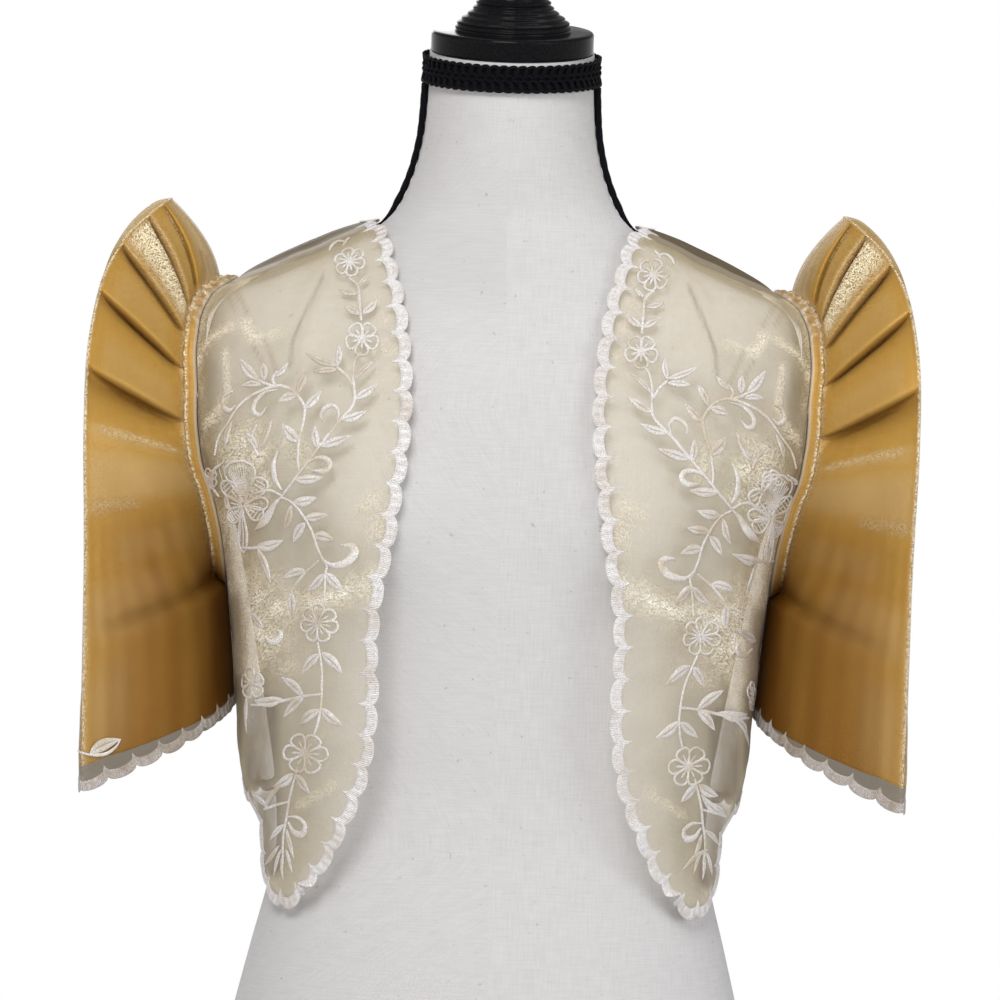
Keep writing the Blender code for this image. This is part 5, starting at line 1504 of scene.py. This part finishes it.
def buildArmBand():
    last = bodice["armRows"]
    fore, aft = front[:last + 1, -1], back[:last + 1, 0]
    ends = [(fore[0] + aft[0]) / 2, (fore[-1] + aft[-1]) / 2]
    loop = np.concatenate([ends[:1], fore[1:-1], ends[1:], aft[-2:0:-1], ends[:1]])
    length = lengths(loop, 0)
    places = np.linspace(0, length[-1], int(length[-1] / band["step"]) + 1)[:-1]
    edge = sampled(places, length, loop)
    along, height = places[:, None], edge[:, 2:]
    middle, half = armholeSpan()
    away = unit(np.concatenate([0 * height, edge[:, 1:2] / bodice["armholeHalf"] ** 2,
                                (height - middle) / half ** 2], axis=1))
    t = np.concatenate([np.linspace(0, 1, 8), np.linspace(1, 0, 8)])
    upper = np.arange(len(t)) < 8
    dome = np.sqrt(arch(t))
    # puckered all round, and crumpled over the top of the shoulder
    top = unitClip((height - band["widerFrom"]) / band["crumpledOver"])
    wave = np.sin(along * 2 * np.pi / band["pitch"] + 1.3 * np.sin(along / 17.0))
    wave *= 0.75 + 0.45 * np.sin(along / 11.0)
    wave = wave + band["crumple"] * top * (np.sin(along * 0.83) + 0.7 * np.sin(along * 1.49 + 1.0))
    knot = np.sin(along * 0.61 + 7.0 * t) * np.sin(along * 0.29 + 1.0)
    # fuller under the arm, where its ends meet, and painted darker there as shade
    under = bell(height - bodice["armholeBottom"], band["underHigh"])
    pucker = band["pucker"] * wave * np.where(upper, 1, 0.3) * (0.35 + 0.65 * t ** 2) * dome
    pucker += np.where(upper, band["knot"] * top * knot * dome + band["underFull"] * under * (1 - t), 0.0)
    seam = band["groove"] * bell(t - band["stitched"], 0.08)
    rise = np.where(upper, band["wall"] / 2 + band["bulge"] * dome - seam, -band["wall"] / 2 - 0.2 * dome)
    across = band["gap"] + 0.2 + (band["width"] - 0.3 + band["reach"] + topWider(height)) * t
    ring = edge[:, None] + away[:, None] * (rise + pucker)[..., None]
    ring[..., 0] += across + band["sway"] * wave * t
    rows, around = ring.shape[:2]
    faces = gridFaces(rows, around, True).tolist() + closingFaces(rows, around)
    uv = np.stack([np.broadcast_to(along, across.shape), across], axis=-1)
    obj = meshObject("armBandRight", ring.reshape(-1, 3), faces, uv.reshape(-1, 2), goldBand)
    # painted glints at the outer edge and on the crumpled top, painted shade all over, most under the arm
    paintedBandGlint = np.maximum(0.9 * bell(t - 0.9, 0.13), 0.75 * top * unitClip(knot + 0.15))
    shade = 0.16 + 0.22 * top * unitClip(0.4 - knot) + band["underShade"] * under + 0 * t
    # the organza of the front is sewn over its inner edge
    veil = np.maximum(np.where(t < 0.25, 0.9, 0.0), 0.04 + 0.26 * top)
    setMarks(obj, {"paintedGlint": np.where(upper, paintedBandGlint, 0.0), "veil": veil, "hollowShade": shade})
    inEditMode(obj, faceOutwards)
    smoothShade(obj)
    return obj


bandRight = buildArmBand()
bandLeft = mirrorCopy(bandRight, "armBandLeft")
attach((bandRight, "armhole_band_right"), (bandLeft, "armhole_band_left"))


# the sleeves

sleeveNames = ("seamHeight", "creaseOut", "creaseAhead", "creaseHeight", "faceOut", "faceHeight",
               "bowIn", "bowAhead", "bowUp")
sleeve = {
    "start": 1.3, "wall": 0.35, "apart": 0.55, "hemRaised": 0.24, "middle": 215.0,
    "returnSteps": 34, "faceSteps": 26, "fineSteps": 90, "dense": 1400,
    "pressed": 0.9, "rounded": 4.0, "ridge": 0.55, "ridgeWide": 1.6,
    "swell": 0.62, "ease": (1.0, 0.55, 0.22, 0.06),
    # where the points of the outer face lie, close together at the pressed edges
    "faceEven": (0, 0.08, 0.16, 0.5, 0.84, 0.92, 1), "facePlaces": (0, 0.008, 0.03, 0.5, 0.97, 0.992, 1),
    "pleats": (6, 7, 8, 9, 10),
    "pleatSize": (1.15, 1.0, 1.0, 0.8, 0.55),
    "pleatWide": (1.9, 1.0, 0.9, 1.0, 0.8),
    # between two pleats: place below the lip, rise off the plain sleeve, slip down the sleeve
    "relief": ((-0.46, 0.0, 0.0), (-0.36, -0.4, 0.0), (-0.26, -1.8, 0.0), (-0.18, -4.0, 0.0),
               (-0.12, -6.3, 0.0), (-0.075, -8.0, 0.2), (-0.045, -8.4, 1.0), (-0.026, -6.6, 2.2),
               (-0.012, -2.9, 3.2), (0.0, 0.6, 3.6), (0.010, 2.2, 3.4), (0.026, 2.9, 2.8),
               (0.055, 2.8, 1.7), (0.10, 2.3, 0.8), (0.18, 1.6, 0.2), (0.32, 0.8, 0.0),
               (0.50, 0.2, 0.0)),
    "underarm": (  # height, out
        (352.0, 161.0), (392.0, 164.4), (414.0, 166.6), (424.0, 168.0), (428.5, 170.0), (431.0, 177.2)),
    "rows": (
        (358.0, 247.0, 98.0, 304.5, 251.8, 302.5, 33.0, 33.0, 5.0),
        (392.0, 247.5, 100.0, 345.0, 252.8, 345.0, 31.0, 31.0, 4.5),
        (431.0, 248.0, 101.0, 392.0, 252.7, 392.0, 28.0, 29.0, 3.5),
        (451.0, 248.3, 101.0, 428.0, 252.6, 428.0, 14.0, 16.0, 2.0),
        (480.0, 249.3, 100.5, 470.0, 253.5, 470.0, 7.0, 9.0, 1.0),
        (501.5, 251.0, 97.5, 513.0, 255.4, 515.0, 4.0, 6.0, 1.0),
        (526.0, 251.6, 88.0, 557.0, 255.0, 562.0, 3.0, 5.0, 2.0),
        (557.5, 246.7, 68.0, 604.0, 249.3, 610.0, 3.0, 4.0, 3.0),
        (580.0, 235.5, 47.0, 633.5, 239.0, 640.0, 4.0, 3.0, 4.0),
        (596.5, 221.0, 27.0, 652.0, 226.5, 656.0, 8.0, 3.0, 3.0),
        (606.0, 213.0, 14.0, 660.0, 218.0, 661.6, 10.0, 2.0, 1.5),
        (615.5, 210.0, 0.0, 663.7, 210.0, 663.7, 11.4, 0.0, 0.0),
    ),
}


def sleeveValue(name, row):
    keys = np.arange(len(sleeve["rows"]), dtype=float)
    return smoothValue(keys, column(sleeve["rows"], sleeveNames, name), row)


def seamPoint(height, behind):
    keys, outs = np.array(sleeve["underarm"]).T
    low = np.stack([smoothValue(keys, outs, height), 0 * height, height], axis=-1)
    folds = (backFolds + fineBackFolds) if behind else (frontFolds + fineFolds)
    edge = clothPoint(armholeAngle(height, behind), height, folds)
    edge[..., 0] += 2 * band["gap"] + band["width"] + sleeve["start"] + topWider(height)
    high = height[..., None] > bodice["armholeBottom"]
    return np.where(high, edge, low)


def sleeveStations(first):
    rows = [pleat + place for pleat in sleeve["pleats"] for place, _, _ in sleeve["relief"]]
    rows = np.concatenate([np.linspace(first, 5.5, 46), rows])
    rows = rows[rows < len(sleeve["rows"]) - 1.02]
    return np.unique(np.round(np.concatenate([rows, np.linspace(10.62, 11.0, 6)]), 4))


def pleatRelief(rows):
    # how far each row stands off the plain sleeve, and how far it slips down
    table = [(0.0, 0.0, 0.0), (4.8, 0.0, 0.0)]
    for pleat, size, wide in zip(sleeve["pleats"], sleeve["pleatSize"], sleeve["pleatWide"]):
        for place, up, down in sleeve["relief"]:
            table.append((pleat + place * (wide if place < 0 else 1.0), up * size, down * size))
    keys, rise, slip = np.array(table + [(11.0, 0.0, 0.0)]).T
    return np.interp(rows, keys, rise), np.interp(rows, keys, slip)


def creasePoint(rows, behind):
    ahead = sleeveValue("creaseAhead", rows)
    return np.stack([sleeveValue("creaseOut", rows), ahead if behind else -ahead,
                     sleeveValue("creaseHeight", rows)], axis=-1)


def returnSheet(rows, behind, steps):
    # from the armhole out to the pressed edge, with its pleats
    sign = 1.0 if behind else -1.0
    start = seamPoint(sleeveValue("seamHeight", rows), behind)
    end = creasePoint(rows, behind)
    bow = np.stack([-sleeveValue("bowIn", rows), sign * sleeveValue("bowAhead", rows),
                    sleeveValue("bowUp", rows)], axis=-1)
    knee = (start + end) / 2 + bow
    part = np.linspace(0, 1, steps + 1)
    p = part[:, None]
    grid = start[:, None] * (1 - p) ** 2 + knee[:, None] * 2 * p * (1 - p) + end[:, None] * p ** 2
    down = np.gradient(grid, axis=0) / np.gradient(rows)[:, None, None]
    outwards = sign * unit(np.cross(down, np.gradient(grid, axis=1)))
    swell = arch(part) ** sleeve["swell"]
    reach = unitClip(part / 0.06) * unitClip((1 - part) / 0.05)
    rise, slip = pleatRelief(rows)
    wander = 1 + 0.12 * np.sin(rows * 5.1 + (1.0 if behind else 0.0))
    u, v = lengths(grid, 1), lengths(grid, 0)
    sag = 0.55 * ripple(u, v, 5 if behind else 3, 60.0) + 0.25 * ripple(u, v, 8, 26.0)
    sag *= np.clip((6.0 - rows) / 1.2, 0.15, 1)[:, None]
    grid = grid + outwards * (((rise * wander)[:, None] + sag) * swell)[..., None]
    return grid - unit(down) * (slip[:, None] * swell * reach)[..., None]


def faceSheet(rows, steps):
    # the outer face, from one pressed edge to the other
    place = np.linspace(-1, 1, steps + 1)
    p = place[:, None]
    fore, aft = creasePoint(rows, False)[:, None], creasePoint(rows, True)[:, None]
    middle = np.stack([sleeveValue("faceOut", rows), 0 * rows, sleeveValue("faceHeight", rows)], axis=-1)
    grid = fore * p * (p - 1) / 2 + aft * p * (p + 1) / 2 + middle[:, None] * (1 - p ** 2)
    # shallow dents, none at the pressed edges
    u, v = lengths(grid, 1), lengths(grid, 0)
    sag = 1.1 * ripple(u, 0.6 * v, 15, 75.0) + 0.35 * ripple(u, v, 16, 30.0)
    grid[..., 0] += sag * unitClip(4 * (1 - place ** 2)) * unitClip((11.0 - rows) / 1.5)[:, None]
    return grid


# painted glints, painted sheen bands and painted shade streaks on the sleeve, by rows and places from seam
# to pressed edge: row, half height, from, to, strength
sleevePaintedGlints = ((8.53, 0.45, 0.04, 1.0, 1.0), (5.12, 0.06, 0.1, 0.9, 0.40), (9.75, 0.05, 0.5, 0.95, 0.45),
                (10.6, 0.08, 0.3, 0.9, 0.35), (4.0, 0.10, 0.55, 1.0, 0.30))
sleevePaintedSheens = ((4.45, 0.42, 0.0, 1.0, 0.50), (5.12, 0.12, 0.0, 1.0, 0.35), (2.35, 0.5, 0.45, 1.0, 0.35),
                (7.30, 0.30, 0.2, 0.9, 0.22), (6.25, 0.25, 0.1, 0.9, 0.25), (3.3, 0.25, 0.1, 0.8, 0.25),
                (9.45, 0.22, 0.1, 0.9, 0.30), (10.55, 0.3, 0.0, 1.0, 0.55), (0.9, 0.7, 0.75, 1.0, 0.4))
sleevePaintedShades = ((10.50, 0.07, 0.05, 0.42, 0.35), (10.72, 0.05, 0.02, 0.30, 0.25),
                (10.30, 0.05, 0.0, 0.25, 0.25))


def sleeveStreaks(rows, part, streaks):
    total = np.zeros((len(rows), len(part)))
    for row, half, first, last, strength in streaks:
        across = unitClip((part - first) / 0.06) * unitClip((last - part) / 0.06)
        level = np.exp(-(((rows - row) / half) ** 4))
        total = np.maximum(total, strength * level[:, None] * across)
    return total


def hemRise(part):
    # the gold ends above the sheer sleeve's hem, most of all at the pressed edge
    return sleeve["hemRaised"] * np.interp(part, [0.3, 0.55, 0.9, 1.0], [0.1, 0.5, 1.0, 1.0])


def tighten(t):
    return 0.35 * t + 0.65 * (1 - (1 - t) ** 1.9)


def sleeveParts():
    # along a row: 0 at the armhole to 1 at the pressed edge, and 1 all over the outer face
    tight = tighten(np.linspace(0, 1, sleeve["returnSteps"] + 1))
    return tight, np.concatenate([tight, np.ones(sleeve["faceSteps"]), tight[-2::-1]])


def atPressed(count, width):
    # 1 at both pressed edges, fading over so many points
    edges = sleeve["returnSteps"] + np.array([0, sleeve["faceSteps"]])
    return bell(np.arange(count)[:, None] - edges, width).max(axis=1)


def sleeveMarks(rows):
    part = sleeveParts()[1]
    swell = arch(part) ** sleeve["swell"]
    # painted shade deep in each pleat's groove
    deep = unitClip((-pleatRelief(rows)[0] - 1.0) / 6.5)[:, None] ** 1.7 * swell
    # painted glints along both pressed edges and along the armhole seam
    edge = atPressed(len(part), 0.9)
    seam = 0.5 * bell(part, 0.035)
    paintedGlint = np.maximum(sleeveStreaks(rows, part, sleevePaintedGlints), np.maximum(edge, seam))
    # painted sheen bands, and painted shade streaks beside the shoulder
    sheen = sleeveStreaks(rows, part, sleevePaintedSheens)
    brownShade = sleeveStreaks(rows, part, sleevePaintedShades)
    rows = rows[:, None]
    # a thin line of painted shadow right under each lip
    under = bell(rows - np.array(sleeve["pleats"]) + 0.028, 0.017).max(axis=1, keepdims=True)
    line = under * unitClip(swell * 1.2)
    # painted shade in the lower inner corner
    corner = unitClip((2.9 - rows) / 2.2) * unitClip((0.42 - part) / 0.34)
    veil = 0.8 * unitClip((rows - 10.15) / 0.75) * (part < 0.999)
    # the sheer below the gold hem, painted grey as the shade of the sleeve's inside
    hem = np.clip(5 + 60 * (hemRise(part) + 0.02 - rows), 0, 10)
    # painted shade, darker toward the hem
    lowerShade = np.interp(rows, [0.0, 2.0, 3.6, 4.2, 5.0], [0.70, 0.62, 0.46, 0.20, 0.0])
    lowerShade = lowerShade * np.interp(part, [0.0, 0.8, 0.97, 1.0], [1.0, 1.0, 0.45, 0.3])
    # the outer face has painted sheen in soft patches, painted glints of its threads in level streaks, and
    # painted shade low down
    along, level = np.broadcast_arrays(np.arange(len(part)) * 6.0, 30.0 * rows)
    onFace = (part > 0.999) & (edge < 0.3)
    paintedFaceSheen = np.clip(0.28 + 0.40 * ripple(0.3 * along, level, 51, 70.0), 0, 0.65)
    threads = 0.28 * unitClip((ripple(0.3 * along, 1.2 * level, 52, 60.0) - 0.4) / 0.8)
    threads *= unitClip((9.5 - rows) / 1.5)
    sheen = np.where(onFace, paintedFaceSheen, sheen)
    paintedGlint = np.where(onFace, threads, paintedGlint)
    lowerShade = np.where(onFace, 0.35 * unitClip((3.5 - rows) / 3.5), lowerShade)
    satin = 0.10 * ripple(1.6 * along, 0.12 * level, 55, 40.0) * unitClip((4.5 - rows) / 1.5)
    # all the painted shade together, with uneven satin streaks in it
    hollowShade = np.maximum(0.46 * deep + 0.95 * corner + lowerShade + brownShade + satin, 0.95 * line)
    return {"hollowShade": np.clip(hollowShade, 0, 0.95), "paintedGlint": paintedGlint * (1 - np.maximum(deep, line)),
            "sheen": sheen, "veil": veil, "seam": hem}


def softened(line, step, width):
    # a line smoothed over this width
    reach = max(1, int(2.5 * width / step))
    kernel = bell(np.arange(-reach, reach + 1) * step, width)
    padded = np.pad(line, ((reach, reach), (0, 0)), mode="edge")
    return np.stack([np.convolve(values, kernel / kernel.sum(), "valid") for values in padded.T], axis=-1)


def sleeveGrid(first):
    rows = sleeveStations(first)
    steps = sleeve["fineSteps"]
    fore = returnSheet(rows, False, steps)
    aft = returnSheet(rows, True, steps)[:, ::-1]
    whole = np.concatenate([fore, faceSheet(rows, steps)[:, 1:], aft[:, 1:]], axis=1)
    tight = sleeveParts()[0]
    even = np.interp(np.linspace(0, 1, sleeve["faceSteps"] + 1), sleeve["faceEven"], sleeve["facePlaces"])
    grid = []
    for line, reach in zip(whole, lengths(whole, 1)):
        near, far, last = reach[[steps, 2 * steps, -1]]
        dense = np.linspace(0, last, sleeve["dense"])
        fine = sampled(dense, reach, line)
        # the pressed edges are rounded a little
        edges = bell(dense - near, sleeve["rounded"]) + bell(dense - far, sleeve["rounded"])
        fine += (softened(fine, dense[1], sleeve["pressed"]) - fine) * unitClip(edges)[:, None]
        stations = np.concatenate([near * tight, near + (far - near) * even[1:],
                                   last - (last - far) * tight[-2::-1]])
        grid.append(sampled(stations, dense, fine))
    grid = np.array(grid)
    normals = gridNormals(grid)
    if (normals[..., 0] * (grid[..., 0] - sleeve["middle"])).sum() < 0:
        normals = -normals
    return grid, normals, sleeveMarks(rows)


def buildSleeve(name, first, lift, material):
    grid, normals, marks = sleeveGrid(first)
    # the pressed edges stand up as a fine ridge
    raised = (lift + sleeve["ridge"] * atPressed(grid.shape[1], sleeve["ridgeWide"]))[:, None]
    moved = grid + normals * raised
    if first > 0:
        # its hem runs lower toward the armhole
        fall = (1 - hemRise(sleeveParts()[1]) / first)[:, None]
        low = sleeveGrid(0.0)[0][0] + normals[0] * raised
        ease = np.array(sleeve["ease"])[:, None, None]
        moved[:len(ease)] += (low - moved[0]) * fall * ease
    obj = gridObject(name, moved, material, marks)
    inEditMode(obj, weld(0.05), faceOutwards)
    tree = treeOf(obj)
    giveWall(obj, sleeve["wall"])
    smoothShade(obj, 75)
    return obj, tree, moved[0], normals[0]


goldRight = buildSleeve("goldSleeveRight", sleeve["hemRaised"], -sleeve["apart"], goldSatin)[0]
sheerRight, sheerTree, hemLine, hemNormals = buildSleeve(
    "sheerSleeveRight", 0.0, sleeve["apart"], sleeveSheer)
goldLeft = mirrorCopy(goldRight, "goldSleeveLeft")
sheerLeft = mirrorCopy(sheerRight, "sheerSleeveLeft")
attach((goldRight, "sleeve_gold_right"), (goldLeft, "sleeve_gold_left"),
       (sheerRight, "sleeve_sheer_right"), (sheerLeft, "sleeve_sheer_left"))


def buildSleeveHem():
    chain, ups = hemLine[:-1], unit(hemNormals[:-1])
    along = np.roll(chain, -1, axis=0) - np.roll(chain, 1, axis=0)
    outs = unit(np.cross(along, ups))
    outs[outs[:, 2] > 0] *= -1
    return scallopBand("sleeveHemRight", (chain, ups, outs), hemScallop, hemThread, True)


hemRight = buildSleeveHem()
hemLeft = mirrorCopy(hemRight, "sleeveHemLeft")
attach((hemRight, "sleeve_border_right"), (hemLeft, "sleeve_border_left"))


# the one leaf near the hem of the left sleeve

sleeveLeaf = {"base": (246.0, 327.6), "point": (227.5, 336.0), "width": 7.5, "high": 0.8,
              "stem": ((252.5, 328.6), (246.5, 326.6), (237.0, 326.8), (230.5, 331.0), (227.5, 336.0))}


def buildSleeveLeaf():
    parts = [leafOn(sheerTree, leafModel(), sleeveLeaf["base"], sleeveLeaf["point"],
                    sleeveLeaf["width"], -0.06, sleeveLeaf["high"], -view["lean"])]
    spots = onCloth(sheerTree, smoothPath(sleeveLeaf["stem"], 0.9), -view["lean"])[0]
    parts.append(sweep([cordAlong(sheerTree, spots, tapered(len(spots), 1.1, 0.5), 0.6)], 8))
    return turnOver(gather("sleeveLeafLeft", parts))


leafLeft = buildSleeveLeaf()
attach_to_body(leafLeft, "root")
print(leafLeft.name, len(leafLeft.data.polygons))


# floor, lights and camera

studio = {"floor": 1.3, "back": 1.0, "above": 0.30, "frame": 610.0, "roll": 1.57, "sensor": 36.0,
          "pale": (0.80, 0.80, 0.80), "paler": (0.84, 0.84, 0.84)}


def buildStage():
    bpy.ops.mesh.primitive_circle_add(vertices=128, radius=studio["floor"], fill_type="NGON",
                                      location=(0, 0, 0))
    floor = bpy.context.active_object
    floor.name = "paleFloor"
    material, tree, shader, _, solid = startMaterial("paleFloor", 0.6)
    tone = spread(tree, noise(tree, solid, 3.0), 0.3, 0.7)
    base = mixColour(tree, tone, studio["pale"], studio["paler"])
    tree.links.new(base, shader.inputs["Base Color"])
    floor.data.materials.append(material)
    world = bpy.data.worlds.new("paleRoom")
    bpy.context.scene.world = world
    world.use_nodes = True
    tree = world.node_tree
    place = tree.nodes.new("ShaderNodeTexCoord")
    split = tree.nodes.new("ShaderNodeSeparateXYZ")
    tree.links.new(place.outputs["Generated"], split.inputs[0])
    height = mathNode(tree, "ABSOLUTE", split.outputs[2])
    level = spread(tree, height, 0.12, 0.34, studio["back"], studio["above"])
    tree.nodes["Background"].inputs["Color"].default_value = (1.0, 1.0, 1.0, 1.0)
    tree.links.new(level, tree.nodes["Background"].inputs["Strength"])


def areaLight(name, place, aim, size, power, tint):
    data = bpy.data.lights.new(name, "AREA")
    data.shape = "DISK"
    data.size = size
    data.energy = power
    data.color = tint
    obj = linked(name, data)
    obj.location = place
    obj.rotation_euler = (Vector((0, 0, aim)) - Vector(place)).to_track_quat("-Z", "Y").to_euler()


def buildCamera():
    data = bpy.data.cameras.new("studioCamera")
    data.sensor_width = studio["sensor"]
    data.lens = studio["sensor"] * view["distance"] / studio["frame"]
    data.clip_end = 50.0
    turn = Matrix.Rotation(math.radians(90), 4, "X") @ Matrix.Rotation(math.radians(studio["roll"]), 4, "Z")
    place = Vector((0.0, view["plane"] - view["distance"], view["height"]))
    obj = linked("studioCamera", data)
    obj.matrix_world = Matrix.Translation(place * mm) @ turn
    bpy.context.scene.camera = obj


# name, place, the height it aims at, size, power and colour
lights = (("keyLight", (-0.45, -2.2, 2.1), 0.48, 1.3, 44.0, (1.0, 0.99, 0.97)),
          ("fillLight", (1.9, -1.9, 1.0), 0.48, 1.5, 14.0, (0.97, 0.985, 1.0)),
          ("topLight", (0.2, 0.3, 2.4), 0.5, 1.4, 5.0, (1.0, 1.0, 1.0)),
          ("backLight", (-0.6, 2.4, 1.6), 0.5, 1.2, 10.0, (1.0, 1.0, 1.0)))

buildStage()
for light in lights:
    areaLight(*light)
buildCamera()
bpy.context.scene.view_settings.view_transform = "Standard"
print("stage, lights and camera ready")
